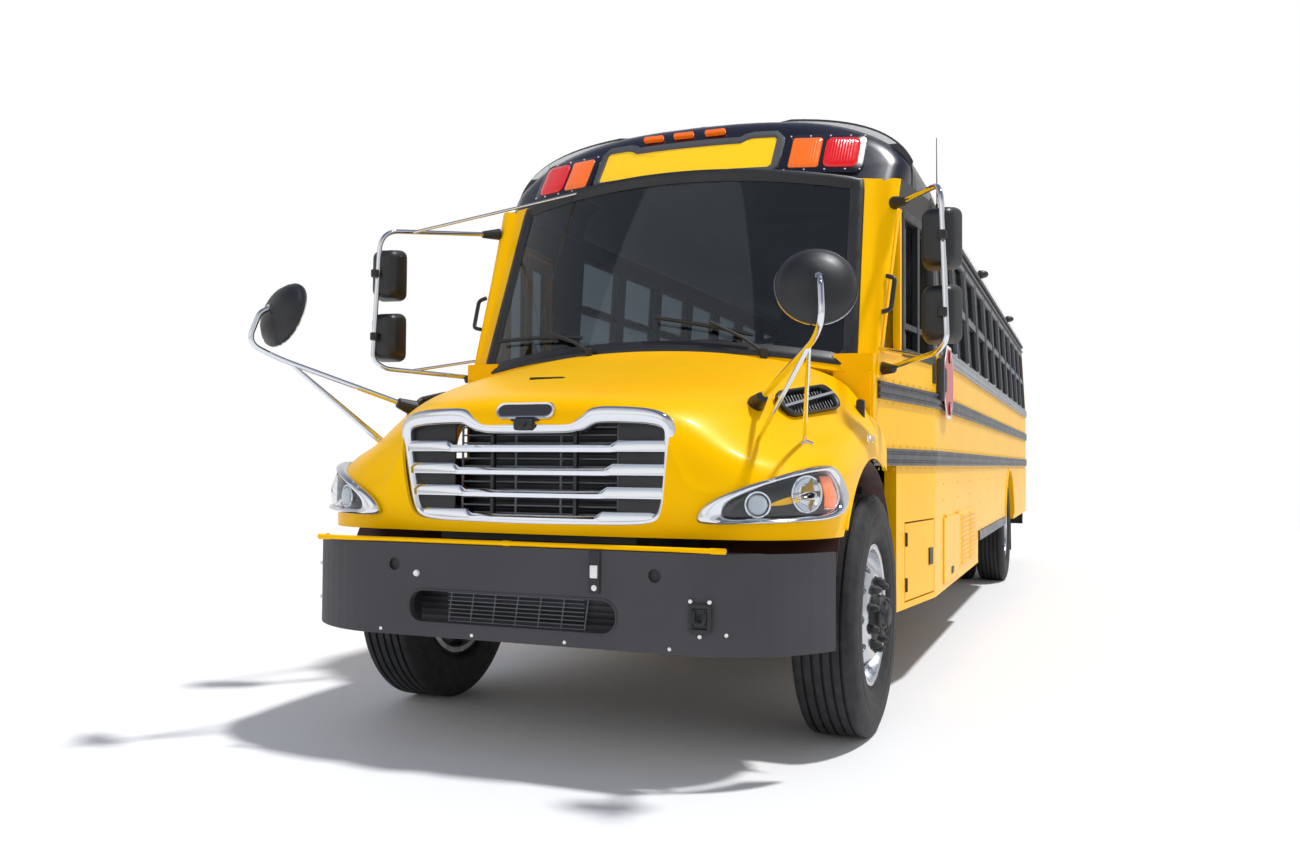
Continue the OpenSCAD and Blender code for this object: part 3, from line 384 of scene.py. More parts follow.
# moulded gelcoat: deep black with a blue cast and a hard gloss
def makeGelcoat():
    material, tree, shader = finish("blackGelcoat", "#101122", 0.22, Coat_Weight=0.25, Coat_Roughness=0.04)
    roughnessPatches(tree, shader, 0.18, 0.3, 400)
    return material


# thick textured powder coating on folded steel: dull, with a coarse sandy grain
def makePowderCoat():
    material, tree, shader = finish("texturedPowderCoat", "#39383C", 0.62)
    tree.links.new(patches(tree, "#38373B", "#3D3C41", 400), shader.inputs["Base Color"])
    grainBump(tree, shader, 3.2, 0.5)
    return material


# bright chromium plating on plastic and steel
def makeChrome():
    material, tree, shader = finish("chromiumPlating", "#DCDFE4", 0.09, Metallic=1.0)
    roughnessPatches(tree, shader, 0.06, 0.13, 90)
    return material


# forged and machined aluminium wheels: bright, with a fine noise grain in the surface
def makeForgedAluminium():
    material, tree, shader = finish("polishedForgedAluminium", "#C4C7CC", 0.24, Metallic=1.0)
    roughnessPatches(tree, shader, 0.18, 0.34, 60)
    grainBump(tree, shader, 5.0, 0.05)
    return material


# cast and painted iron hubs and axles
def makeCastIron():
    material, tree, shader = finish("castIron", "#3A3A3C", 0.6, Metallic=0.35)
    tree.links.new(patches(tree, "#2C2C2E", "#49494B", 60), shader.inputs["Base Color"])
    grainBump(tree, shader, 4.0, 0.4)
    return material


# black chassis paint with road dust in patches
def makeChassisPaint():
    material, tree, shader = finish("chassisPaint", "#1B1B1D", 0.5)
    tree.links.new(patches(tree, "#161618", "#2B2A28", 260), shader.inputs["Base Color"])
    grainBump(tree, shader, 14.0, 0.2)
    return material


# vulcanised tyre rubber: nearly black, greyer where it has been scuffed
def makeTyreRubber():
    material, tree, shader = finish("vulcanisedRubber", "#1D1D1F", 0.72)
    tree.links.new(patches(tree, "#19191B", "#2A2A2C", 45), shader.inputs["Base Color"])
    grainBump(tree, shader, 2.0, 0.25)
    return material


# extruded black vinyl and moulded black plastic
def makeBlackPlastic(name, color, roughness, grain, height):
    material, tree, shader = finish(name, color, roughness)
    roughnessPatches(tree, shader, roughness - 0.06, roughness + 0.08, 70)
    grainBump(tree, shader, grain, height)
    return material


# grey-tinted safety glass: clear enough to see the seats through
def makeTintedGlass(name, tint, roughness=0.0):
    material, tree, shader = finish(name, tint, roughness, IOR=1.45, Transmission_Weight=1.0)
    noise = addNode(tree, "ShaderNodeTexNoise", {"Vector": place(tree), "Scale": 2.0, "Detail": 1.0})
    bump = addNode(tree, "ShaderNodeBump", {"Height": noise.outputs["Fac"], "Distance": 0.0006})
    tree.links.new(bump.outputs[0], shader.inputs["Normal"])
    clear = addNode(tree, "ShaderNodeBsdfTransparent", {"Color": linear(tint)})
    paths = addNode(tree, "ShaderNodeLightPath")
    mixed = addNode(tree, "ShaderNodeMixShader", {0: paths.outputs["Is Shadow Ray"], 1: shader.outputs[0],
        2: clear.outputs[0]})
    tree.links.new(mixed.outputs[0], tree.nodes["Material Output"].inputs["Surface"])
    return material


# pressed lens plastic with prism ribs every few millimetres
def makeLens(name, color, glow, ribs=7.0):
    material, tree, shader = finish(name, color, 0.12, Coat_Weight=0.6, Coat_Roughness=0.03,
        Emission_Strength=glow)
    shader.inputs["Emission Color"].default_value = linear(color)
    wave = addNode(tree, "ShaderNodeTexWave", {"Vector": place(tree), "Scale": 1000 / ribs / 20 * 3.14},
        bands_direction="X", wave_profile="SIN")
    bump = addNode(tree, "ShaderNodeBump", {"Height": wave.outputs["Fac"], "Distance": 0.0015, "Strength": 0.7})
    tree.links.new(bump.outputs[0], shader.inputs["Normal"])
    return material


# upholstery vinyl: fine leather grain and a soft sheen
def makeSeatVinyl():
    material, tree, shader = finish("seatVinyl", "#2A2F3A", 0.48, Sheen_Weight=0.15)
    tree.links.new(patches(tree, "#262B35", "#313743", 150), shader.inputs["Base Color"])
    grainBump(tree, shader, 3.0, 0.3)
    return material


# reflective sheeting on a flat aluminium sign
def makeSheeting(name, color):
    material, tree, shader = finish(name, color, 0.35, Coat_Weight=0.3)
    cells = addNode(tree, "ShaderNodeTexVoronoi", {"Vector": place(tree), "Scale": 260.0})
    bump = addNode(tree, "ShaderNodeBump", {"Height": cells.outputs["Distance"], "Distance": 0.0003})
    tree.links.new(bump.outputs[0], shader.inputs["Normal"])
    return material


# stacked cooling fins, drawn at 12 mm because the real 2 mm pitch is too fine to show
def makeFins():
    material, tree, shader = finish("coolerFinsWithPaintedGapShade", "#242529", 0.45, Metallic=0.6)
    wave = addNode(tree, "ShaderNodeTexWave", {"Vector": place(tree), "Scale": 1000 / 12 / 20 * 3.14},
        bands_direction="Z", wave_profile="SAW")
    # the colour ramp paints shade into the gaps between the fins: each band runs from near black at the gap to dark
    # grey at the fin
    ramp = addNode(tree, "ShaderNodeValToRGB", {"Fac": wave.outputs["Fac"]})
    ramp.color_ramp.elements[0].color = linear("#0E0E10")
    ramp.color_ramp.elements[1].color = linear("#3A3B40")
    tree.links.new(ramp.outputs["Color"], shader.inputs["Base Color"])
    bump = addNode(tree, "ShaderNodeBump", {"Height": wave.outputs["Fac"], "Distance": 0.003})
    tree.links.new(bump.outputs[0], shader.inputs["Normal"])
    return material


yellowEnamel = makeEnamel()
sideEnamel = makeSideEnamel(1.835, 2.70, at(0, 1.5, 0).y, 2.46)
cabEnamel = makeSideEnamel(2.46, 3.2, at(0, 1.5, 0).y, 2.46)
roofEnamel = makeRoofEnamel(2.655, at(0, 1.82, 0).y, 2.86)
windowFrame = makeBlackPlastic("anodisedWindowFrame", "#4C4E53", 0.34, 6.0, 0.05)
railPaint = makeBlackPlastic("paintedRubRail", "#34363C", 0.34, 9.0, 0.05)
sillMetal = makeBlackPlastic("brushedSillRail", "#8D9095", 0.36, 5.0, 0.05)
blackGelcoat = makeGelcoat()
powderCoat = makePowderCoat()
chrome = makeChrome()
aluminium = makeForgedAluminium()
castIron = makeCastIron()
chassisPaint = makeChassisPaint()
tyreRubber = makeTyreRubber()
blackVinyl = makeBlackPlastic("extrudedBlackVinyl", "#1F2023", 0.42, 8.0, 0.06)
mirrorPlastic = makeBlackPlastic("mouldedMirrorPlastic", "#1A1B1E", 0.4, 2.5, 0.12)
cabinPlastic = makeBlackPlastic("cabinPlastic", "#26272B", 0.6, 3.0, 0.2)
stepRubber = makeBlackPlastic("ribbedFloorRubber", "#232427", 0.7, 10.0, 0.5)
linerPlastic = makeBlackPlastic("redBrownLiner", "#3A140E", 0.62, 12.0, 0.6)
hatchPlastic = makeBlackPlastic("offWhiteHatchPlastic", "#D6D5CE", 0.5, 5.0, 0.15)
tintedGlass = makeTintedGlass("tintedSideGlass", "#7F878D")
screenGlass = makeTintedGlass("laminatedWindshield", "#8F999F")
clearLens = makeTintedGlass("clearLampCover", "#F4F7FA")
amberLens = makeLens("amberPrismLens", "#F26A0C", 0.25)
redLens = makeLens("redPrismLens", "#D30F14", 0.25)
signFace = makeLens("backlitYellowSign", "#F5C400", 0.25, 400.0)
seatVinyl = makeSeatVinyl()
redSheeting = makeSheeting("redReflectiveSheeting", "#C3121B")
whiteSheeting = makeSheeting("whiteReflectiveSheeting", "#E9E8E6")
coolerFinsWithPaintedGapShade = makeFins()
print("finishes made")

nodeFinishes = {
    "frame_rails": chassisPaint, "front_axle": castIron, "rear_axle": castIron, "driveshaft": chassisPaint,
    "leaf_springs": chassisPaint, "engine": castIron, "radiator": coolerFinsWithPaintedGapShade, "front_bumper": powderCoat,
    "rear_bumper": chassisPaint, "floor": stepRubber, "wheel_housings": stepRubber, "entry_steps": stepRubber,
    "left_side": sideEnamel, "right_side": sideEnamel,
    "driver_section": cabEnamel, "door_section": cabEnamel, "roof": roofEnamel,
    "front_cap": blackGelcoat, "rear_wall": yellowEnamel, "cowl": yellowEnamel, "windshield": screenGlass,
    "side_glass": tintedGlass, "window_sashes": blackVinyl, "seats": seatVinyl, "driver_seat": seatVinyl,
    "dashboard": cabinPlastic, "side_trim": blackVinyl, "warning_lamps": redLens, "fuel_tank": chassisPaint,
    "battery_box": chassisPaint, "arch_liners": linerPlastic, "main_mirrors": mirrorPlastic,
    "hood": yellowEnamel, "grille": chrome, "headlamps": chrome, "crossview_mirrors": mirrorPlastic,
    "left_knuckle": castIron, "right_knuckle": castIron, "steering_wheel": cabinPlastic,
    "front_door_leaf": yellowEnamel, "front_door_glass": tintedGlass, "rear_door_leaf": yellowEnamel,
    "rear_door_glass": tintedGlass, "emergency_door": yellowEnamel, "emergency_glass": tintedGlass,
    "battery_door": yellowEnamel, "stop_arm": redSheeting, "crossing_arm": yellowEnamel,
    "front_hatch": hatchPlastic, "rear_hatch": hatchPlastic,
}
for end in ("front", "rear"):
    for side in ("left", "right"):
        plural = "s" if end == "rear" else ""
        nodeFinishes[end + "_" + side + "_tyre" + plural] = tyreRubber
        nodeFinishes[end + "_" + side + "_wheel" + plural] = aluminium
for nodeName, look in nodeFinishes.items():
    nodes[nodeName].data.materials.clear()
    nodes[nodeName].data.materials.append(look)


# ---- camera, floor and light ----

cameraSetup = {"focal": 1111, "yaw": 21.9, "pitch": 1.7, "roll": -0.4, "place": (2.05, -4.86, 1.17)}


def makeCamera():
    data = bpy.data.cameras.new("camera")
    data.sensor_width = 36
    data.lens = cameraSetup["focal"] * 36 / 1300
    camera = bpy.data.objects.new("camera", data)
    bpy.context.scene.collection.objects.link(camera)
    turn = (Matrix.Rotation(radians(cameraSetup["yaw"]), 4, "Z")
        @ Matrix.Rotation(radians(cameraSetup["pitch"]), 4, "X")
        @ Matrix.Rotation(radians(cameraSetup["roll"]), 4, "Y")
        @ Matrix.Rotation(radians(90), 4, "X"))
    camera.matrix_world = Matrix.Translation(at(*cameraSetup["place"])) @ turn
    bpy.context.scene.camera = camera


studio = {"floorColor": "#F2F2F2", "fadeFrom": 7.5, "fadeTo": 12.0, "ambient": 0.72,
    "skyColor": "#8791AA", "skyFrom": 0.38, "skyTo": 0.80,
    "keyStrength": 2.8, "keySoftness": 4, "keyTurn": (22, 0, 114), "fillStrength": 0.3}


# pale floor that fades to plain white further out, and keeps the shadow near the bus
def makeStage():
    clearSelection()
    bpy.ops.mesh.primitive_circle_add(vertices=96, radius=60, fill_type="NGON", location=(0, 0, 0))
    floor = bpy.context.object
    floor.name = "studioFloor"
    bpy.ops.object.mode_set(mode="EDIT")
    bpy.ops.mesh.select_all(action="SELECT")
    bpy.ops.mesh.inset(thickness=40)
    bpy.ops.object.mode_set(mode="OBJECT")
    material, tree, shader = finish("paleStudioFloor", studio["floorColor"], 0.7)
    spot = addNode(tree, "ShaderNodeTexCoord")
    squash = addNode(tree, "ShaderNodeMapping", {"Vector": spot.outputs["Object"], "Scale": (1, 0.62, 1)})
    distance = addNode(tree, "ShaderNodeVectorMath", {0: squash.outputs[0]}, operation="LENGTH")
    fade = addNode(tree, "ShaderNodeMapRange", {"Value": distance.outputs["Value"], "From Min": studio["fadeFrom"],
        "From Max": studio["fadeTo"]}, interpolation_type="SMOOTHSTEP")
    paths = addNode(tree, "ShaderNodeLightPath")
    seen = addNode(tree, "ShaderNodeMath", {0: paths.outputs["Is Camera Ray"], 1: paths.outputs["Is Glossy Ray"]},
        operation="MAXIMUM")
    seen = addNode(tree, "ShaderNodeMath", {0: seen.outputs[0], 1: paths.outputs["Is Transmission Ray"]},
        operation="MAXIMUM")
    share = addNode(tree, "ShaderNodeMath", {0: seen.outputs[0], 1: fade.outputs[0]}, operation="MULTIPLY")
    white = addNode(tree, "ShaderNodeEmission", {"Color": (1, 1, 1, 1), "Strength": 1.0})
    mixed = addNode(tree, "ShaderNodeMixShader", {0: share.outputs[0], 1: shader.outputs[0], 2: white.outputs[0]})
    tree.links.new(mixed.outputs[0], tree.nodes["Material Output"].inputs["Surface"])
    floor.data.materials.append(material)


def makeLight():
    world = bpy.data.worlds.new("studioWorld")
    bpy.context.scene.world = world
    world.use_nodes = True
    tree = world.node_tree
    ambient = tree.nodes["Background"]
    way = addNode(tree, "ShaderNodeSeparateXYZ", {"Vector": addNode(tree,
        "ShaderNodeTexCoord").outputs["Generated"]})
    height = addNode(tree, "ShaderNodeMapRange", {"Value": way.outputs["Z"], "From Min": studio["skyFrom"],
        "From Max": studio["skyTo"]}, interpolation_type="SMOOTHSTEP")
    sky = addNode(tree, "ShaderNodeMix", {"Factor": height.outputs[0], "A": (1, 1, 1, 1),
        "B": linear(studio["skyColor"])}, data_type="RGBA")
    tree.links.new(sky.outputs["Result"], ambient.inputs["Color"])
    ambient.inputs["Strength"].default_value = studio["ambient"]
    white = addNode(tree, "ShaderNodeBackground", {"Color": (1, 1, 1, 1), "Strength": 1.0})
    paths = addNode(tree, "ShaderNodeLightPath")
    seen = addNode(tree, "ShaderNodeMath", {0: paths.outputs["Is Camera Ray"],
        1: paths.outputs["Is Transmission Ray"]},
        operation="MAXIMUM")
    mixed = addNode(tree, "ShaderNodeMixShader", {0: seen.outputs[0], 1: ambient.outputs[0], 2: white.outputs[0]})
    tree.links.new(mixed.outputs[0], tree.nodes["World Output"].inputs["Surface"])
    for name, strength, softness, turn in (
            ("keySun", studio["keyStrength"], studio["keySoftness"], studio["keyTurn"]),
            ("fillSun", studio["fillStrength"], 60, (60, 0, -20))):
        data = bpy.data.lights.new(name, "SUN")
        data.energy = strength
        data.angle = radians(softness)
        lamp = bpy.data.objects.new(name, data)
        lamp.rotation_euler = [radians(a) for a in turn]
        bpy.context.scene.collection.objects.link(lamp)
    bpy.context.scene.view_settings.view_transform = "Standard"


makeCamera()
makeStage()
makeLight()
print("camera, floor and light set")


# ---- hood: one moulded shell with both fenders ----

hoodForm = {
    "thickness": 0.018,
    "footZ": 0.89,
    "archRadius": 0.685,
    # half sections from crown to fender edge as (x, z), for places behind the axle
    "sections": [
    (0.29, [(0, 1.715), (0.4, 1.70), (0.68, 1.66), (0.88, 1.60), (0.985, 1.535), (1.035, 1.455),
    (1.085, 1.385), (1.135, 1.335), (1.155, 1.25)]),
    (-0.05, [(0, 1.655), (0.4, 1.645), (0.68, 1.61), (0.87, 1.565), (0.965, 1.50), (1.02, 1.42),
    (1.07, 1.36), (1.125, 1.32), (1.155, 1.24)]),
    (-0.33, [(0, 1.595), (0.38, 1.585), (0.64, 1.555), (0.81, 1.51), (0.90, 1.445), (0.965, 1.365),
    (1.03, 1.305), (1.11, 1.27), (1.155, 1.19)]),
    (-0.60, [(0, 1.535), (0.35, 1.525), (0.58, 1.50), (0.73, 1.46), (0.83, 1.395), (0.905, 1.32),
    (0.985, 1.25), (1.08, 1.215), (1.148, 1.14)]),
    (-0.82, [(0, 1.485), (0.3, 1.475), (0.49, 1.455), (0.63, 1.415), (0.73, 1.355), (0.81, 1.285),
    (0.89, 1.22), (0.98, 1.18), (1.078, 1.10)]),
    (-0.97, [(0, 1.443), (0.25, 1.437), (0.41, 1.42), (0.52, 1.39), (0.605, 1.34), (0.68, 1.28),
    (0.755, 1.22), (0.83, 1.165), (0.905, 1.08)]),
    (-1.035, [(0, 1.405), (0.22, 1.40), (0.34, 1.39), (0.43, 1.37), (0.505, 1.335), (0.56, 1.29),
    (0.605, 1.235), (0.64, 1.16), (0.67, 1.08)]),
    ],
    # how far down and back each ring of the walls lies
    "wall": [(0.10, -0.016), (0.40, -0.014), (0.74, 0.004), (1.0, 0.026)],
}


# rear edge of the hood: bowed with the windshield
def hoodRear(x):
    return min(0.288, 0.107 + 2.45 - sqrt(2.45 ** 2 - min(x, 1.2) ** 2))


def makeHoodShell():
    rows = []
    for index, (y, half) in enumerate(hoodForm["sections"]):
        front = index == len(hoodForm["sections"]) - 1
        line = []
        for x, z in half:
            back = hoodRear(x) if index == 0 else y + (0.03 * (x / 0.6) ** 2 - 0.008 if front else 0)
            line.append(at(x, back, z))
        rows.append(line)
    steps = hoodForm["wall"]
    nose = rows[-1]
    front = []
    for down, back in steps:
        front.append([Vector((p.x * (1 - 0.03 * down), p.y + back, p.z + (hoodForm["footZ"] - p.z) * down))
            for p in nose])
    points, faces, found = [], [], {}

    def corner(p):
        key = (round(p.x, 5), round(p.y, 5), round(p.z, 5))
        if key not in found:
            found[key] = len(points)
            points.append(tuple(p))
        return found[key]

    def quad(a, b, c, d):
        faces.append([corner(p) for p in (a, b, c, d)])

    for side in (1, -1):
        def turned(p):
            return Vector((side * p.x, p.y, p.z))
        grid = [[turned(p) for p in row] for row in rows + front]
        for i in range(len(grid) - 1):
            for j in range(len(grid[0]) - 1):
                quad(grid[i][j], grid[i + 1][j], grid[i + 1][j + 1], grid[i][j + 1])
        edge = [grid[i][-1] for i in range(len(rows))]
        walls = [edge]
        for k, (down, back) in enumerate(steps):
            ring = [p + Vector((0, 0, (hoodForm["footZ"] - p.z) * down)) for p in edge]
            ring[-1] = grid[len(rows) + k][-1]
            walls.append(ring)
        for k in range(len(walls) - 1):
            for i in range(len(edge) - 1):
                quad(walls[k][i], walls[k][i + 1], walls[k + 1][i + 1], walls[k + 1][i])
    mesh = bpy.data.meshes.new("hoodShell")
    mesh.from_pydata(points, [], faces)
    shell = bpy.data.objects.new("hoodShell", mesh)
    bpy.context.scene.collection.objects.link(shell)
    recalculate(shell)
    modify(shell, "SUBSURF", levels=3, render_levels=3)
    modify(shell, "SOLIDIFY", thickness=hoodForm["thickness"], offset=-1, use_even_offset=True)
    return shell


grilleForm = {
    "outline": [(0.0, 1.318), (0.10, 1.318), (0.19, 1.322), (0.235, 1.342), (0.285, 1.372), (0.40, 1.374),
    (0.52, 1.362), (0.583, 1.325), (0.592, 1.24), (0.578, 1.09), (0.562, 0.995), (0.53, 0.945),
    (0.45, 0.925), (0.25, 0.92), (0.0, 0.918)],
    "barHeight": 0.046, "barStep": 0.017, "bars": (1.232, 1.143, 1.055, 0.960),
    "stepAt": (0.345, 0.32, 0.295, 0.27),
}


def grilleFace(x, z):
    return -1.052 + 0.05 * (1.36 - z) / 0.43 + 0.036 * (x / 0.57) ** 2


def grilleLoop(scale, grow=0.0):
    half = grilleForm["outline"]
    centre = 1.14
    full = half + [(-x, z) for x, z in reversed(half[1:-1])]
    loop = [Vector((x, 0, z)) for x, z in full]
    dense = rounded(loop, 4)
    result = []
    for i, p in enumerate(dense):
        before, after = dense[i - 1], dense[(i + 1) % len(dense)]
        way = (after - before).normalized()
        outward = Vector((-way.z, 0, way.x))
        if outward.dot(Vector((p.x, 0, p.z - centre))) < 0:
            outward = -outward
        result.append(p + outward * grow)
    return result


def makeGrille():
    # surround: a rounded chrome band that follows the nose
    profile = [(0.006, 0.030), (0.008, 0.004), (0.0, -0.008), (-0.016, -0.014), (-0.034, -0.004), (-0.040, 0.012),
        (-0.040, 0.040)]
    rings = []
    for grow, deep in profile:
        ring = []
        for p in grilleLoop(1, grow):
            wide = 1.0 + 0.75 * max(0, (p.z - 1.27) / 0.1) * (1 if abs(p.x) > 0.22 else 0.35) if grow < -0.01 else 1.0
            q = p if wide == 1.0 else p + Vector((0, 0, grow * (wide - 1.0)))
            ring.append(at(q.x, grilleFace(q.x, q.z) + deep, q.z))
        rings.append(ring)
    surround = smooth(skin("grilleSurround", rings, closeRows=True), 60)
    modify(surround, "SOLIDIFY", thickness=0.004, offset=-1)
    pieces = [surround]
    # four bars, each stepped down towards the middle
    for z, stepX in zip(grilleForm["bars"], grilleForm["stepAt"]):
        tall, drop = grilleForm["barHeight"], grilleForm["barStep"]
        stations = [-0.565, -0.48, -stepX - 0.03, -stepX, -0.16, 0, 0.16, stepX, stepX + 0.03, 0.48, 0.565]
        rows = []
        for x in stations:
            outer = abs(x) > stepX + 0.001
            top = z + (tall / 2 if outer else tall / 2 - drop)
            low = z - tall / 2 - (0.001 if outer else 0.003)
            y = grilleFace(x, z)
            mid = (top + low) / 2
            rows.append([at(x, y + 0.030, top), at(x, y + 0.004, top - 0.001), at(x, y - 0.008, mid + 0.004),
                at(x, y - 0.006, low + 0.004), at(x, y + 0.006, low), at(x, y + 0.030, low + 0.002)])
        pieces.append(formed("grilleBar", rows, 40))
    whole = join("chromeGrille", pieces)
    dress(whole, "hood", chrome, ["grille"])
    # dark side plates and the guard of thin rails behind the bars
    dark = []
    for side in (1, -1):
        dark.append(block("grillePlate", at(side * 0.36, -0.975, 0.95), at(side * 0.56, -0.965, 1.35), 0.004))
        dark.append(rod("plateScrew", at(side * 0.54, -0.985, 1.31), at(side * 0.54, -0.974, 1.31), 0.008, 12))
        dark.append(rod("plateScrew", at(side * 0.54, -0.985, 0.99), at(side * 0.54, -0.974, 0.99), 0.008, 12))
    dark.append(block("grilleHoop", at(-0.19, -0.99, 0.93), at(-0.175, -0.965, 1.33), 0.003))
    dark.append(block("grilleHoop", at(0.175, -0.99, 0.93), at(0.19, -0.965, 1.33), 0.003))
    plates = join("grilleBacking", dark)
    dress(plates, "hood", blackVinyl)
    rails = []
    for i in range(14):
        z = 0.905 + i * 0.031
        rails.append(rod("guardRail", at(-0.345, -0.945, z), at(0.345, -0.945, z), 0.0035, 8))
    for x in (-0.345, -0.1, 0.1, 0.345):
        rails.append(rod("guardPost", at(x, -0.942, 0.88), at(x, -0.942, 1.33), 0.005, 8))
    guard = join("coolerGuard", rails)
    dress(guard, "bus_body", makeBlackPlastic("guardWire", "#6E7076", 0.4, 5.0, 0.05))
    print("grille made")


lampForm = {
    # corners of the teardrop as (turn round the corner in degrees, height)
    "outline": [(80, 0.972), (77, 1.02), (66, 1.072), (48, 1.118), (28, 1.15), (12, 1.155), (3, 1.12), (1, 1.06),
    (6, 1.0), (20, 0.972), (42, 0.962), (64, 0.957), (76, 0.957)],
}


# a place on the hood's front corner: angle 0 is the side, 90 is the nose
def cornerPoint(angle, z, out=0.0):
    a = radians(angle)
    x, y = 0.64 + 0.51 * cos(a), -0.60 - 0.43 * sin(a)
    normal = Vector((cos(a) / 0.51, -sin(a) / 0.43, 0)).normalized()
    # the corner leans back a little above the lamp's middle
    lean = -max(0.0, z - 1.05) * 0.32
    return at(x, y, z) + normal * (out + lean)


def lampRing(scale, out):
    points = [Vector((a, z, 0)) for a, z in lampForm["outline"]]
    centre = Vector((36, 1.052, 0))
    return [cornerPoint(centre.x + (p.x - centre.x) * scale, centre.y + (p.y - centre.y) * scale, out)
        for p in rounded(points, 5)]


def lampBowl(name, angle, z, radius, depth, out):
    front = cornerPoint(angle, z, out)
    inward = (cornerPoint(angle, z, -0.1) - cornerPoint(angle, z, 0.0)).normalized()
    side = inward.cross(Vector((0, 0, 1))).normalized()
    up = side.cross(inward)
    rows = []
    for k in range(9):
        t = k / 8
        r = radius * sqrt(max(0.0, 1 - t)) + 0.006
        rows.append([front + inward * depth * t + side * r * cos(2 * pi * j / 32)
            + up * r * sin(2 * pi * j / 32) for j in range(32)])
    return smooth(skin(name, rows, closeRows=True), 60)


def makeHeadlamps():
    bezelRows = [lampRing(s, o) for s, o in ((1.09, -0.03), (1.09, 0.003), (1.05, 0.014), (0.98, 0.019),
        (0.91, 0.014),
        (0.86, 0.004), (0.84, -0.006), (0.835, -0.05))]
    bezel = smooth(skin("lampBezel", bezelRows, closeRows=True), 60)
    modify(bezel, "SOLIDIFY", thickness=0.003, offset=-1)
    dress(bothSides("headlampBezels", bezel), "hood", chrome, ["headlamps"])
    lensRows = [lampRing(s, o) for s, o in ((0.88, -0.006), (0.86, 0.002), (0.7, 0.007), (0.45, 0.010),
        (0.2, 0.011),
        (0.02, 0.011))]
    lens = smooth(skin("lampCover", lensRows, closeRows=True, capEnds=False), 60)
    modify(lens, "SOLIDIFY", thickness=0.003, offset=-1)
    dress(bothSides("headlampCovers", lens), "hood", clearLens)
    wellRows = [lampRing(s, o) for s, o in ((0.90, -0.008), (0.87, -0.06), (0.6, -0.085), (0.3, -0.09),
        (0.02, -0.09))]
    well = smooth(skin("lampWell", wellRows, closeRows=True), 60)
    dress(bothSides("headlampWells", well), "hood", cabinPlastic)
    bright = [lampBowl("mainReflector", 33, 1.058, 0.062, 0.05, -0.012),
        lampBowl("lowReflector", 58, 1.02, 0.040, 0.035, -0.016)]
    for angle, z, radius in ((33, 1.058, 0.062), (58, 1.02, 0.040)):
        front = cornerPoint(angle, z, -0.014)
        inward = (cornerPoint(angle, z, -0.1) - cornerPoint(angle, z, 0.0)).normalized()
        clearSelection()
        bpy.ops.mesh.primitive_torus_add(major_segments=40, minor_segments=8, major_radius=radius + 0.006,
            minor_radius=0.004, location=front,
            rotation=inward.to_track_quat("Z", "Y").to_euler())
        bright.append(smooth(settle(bpy.context.object)))
    reflectors = join("headlampBowls", bright)
    dress(bothSides("headlampReflectors", reflectors), "hood", chrome)
    ballRows = []
    front = cornerPoint(58, 1.02, -0.012)
    inward = (cornerPoint(58, 1.02, -0.1) - cornerPoint(58, 1.02, 0.0)).normalized()
    side = inward.cross(Vector((0, 0, 1))).normalized()
    up = side.cross(inward)
    for k in range(7):
        t = k / 6 * pi / 2
        ballRows.append([front - inward * 0.012 * sin(t) + side * 0.036 * cos(t) * cos(2 * pi * j / 28)
            + up * 0.036 * cos(t) * sin(2 * pi * j / 28) for j in range(28)])
    ball = formed("projector", ballRows[:-1], 60)
    dress(bothSides("projectorLenses", ball), "hood", makeLens("projectorGlass", "#C9D2DA", 0.0, 30.0))
    amberRows = [[cornerPoint(a, z, -0.022 + 0.008 * cos(radians((a - 12) * 9))) for z in
        [1.0 + 0.0125 * k for k in range(11)]] for a in [8 + 1.5 * k for k in range(9)]]
    amber = smooth(skin("turnSignal", amberRows), 60)
    modify(amber, "SOLIDIFY", thickness=0.004)
    dress(bothSides("turnSignals", amber), "hood", amberLens)
    print("headlamps made")


def makeHood():
    shell = makeHoodShell()
    arch = rod("archCutter", at(-1.4, 0, wheelZ), at(1.4, 0, wheelZ), hoodForm["archRadius"], 96)
    cut(shell, arch)
    loop = grilleLoop(1, -0.012)
    cutter = skin("grilleCutter", [[at(p.x, y, p.z) for p in loop] for y in (-1.3, -0.9)],
        closeRows=True, capEnds=True)
    cut(shell, cutter)
    for side in (1, -1):
        rows = [lampRing(0.93, -0.09), lampRing(0.93, 0.08)]
        if side < 0:
            rows = [[Vector((-p.x, p.y, p.z)) for p in row] for row in rows]
        cut(shell, skin("lampCutter", rows, closeRows=True, capEnds=True))
        ventRows = [[ventPoint(side, u, v, depth, 0.93) for u, v in roundedBox(0.46, 0.125, 0.06, 6)]
            for depth in (-0.06, 0.06)]
        cut(shell, skin("ventCutter", ventRows, closeRows=True, capEnds=True))
    smooth(shell, 35)
    dress(shell, "hood", yellowEnamel, ["hood"])
    print("hood shell made")


ventForm = {"front": (0.868, -0.56, 1.405), "rear": (1.005, -0.05, 1.475), "tilt": 52}


# a place on the side vent: u runs back along it, v across it, and depth is outward
def ventPoint(side, u, v, depth, scale=1.0):
    start, end = at(*ventForm["front"]), at(*ventForm["rear"])
    way = (end - start).normalized()
    outward = Vector((sin(radians(ventForm["tilt"])), -0.12, cos(radians(ventForm["tilt"]))))
    outward = (outward - way * outward.dot(way)).normalized()
    up = way.cross(outward).normalized()
    if up.z < 0:
        up = -up
    p = (start + end) / 2 + way * u * scale + up * v * scale + outward * depth
    return Vector((side * p.x, p.y, p.z))


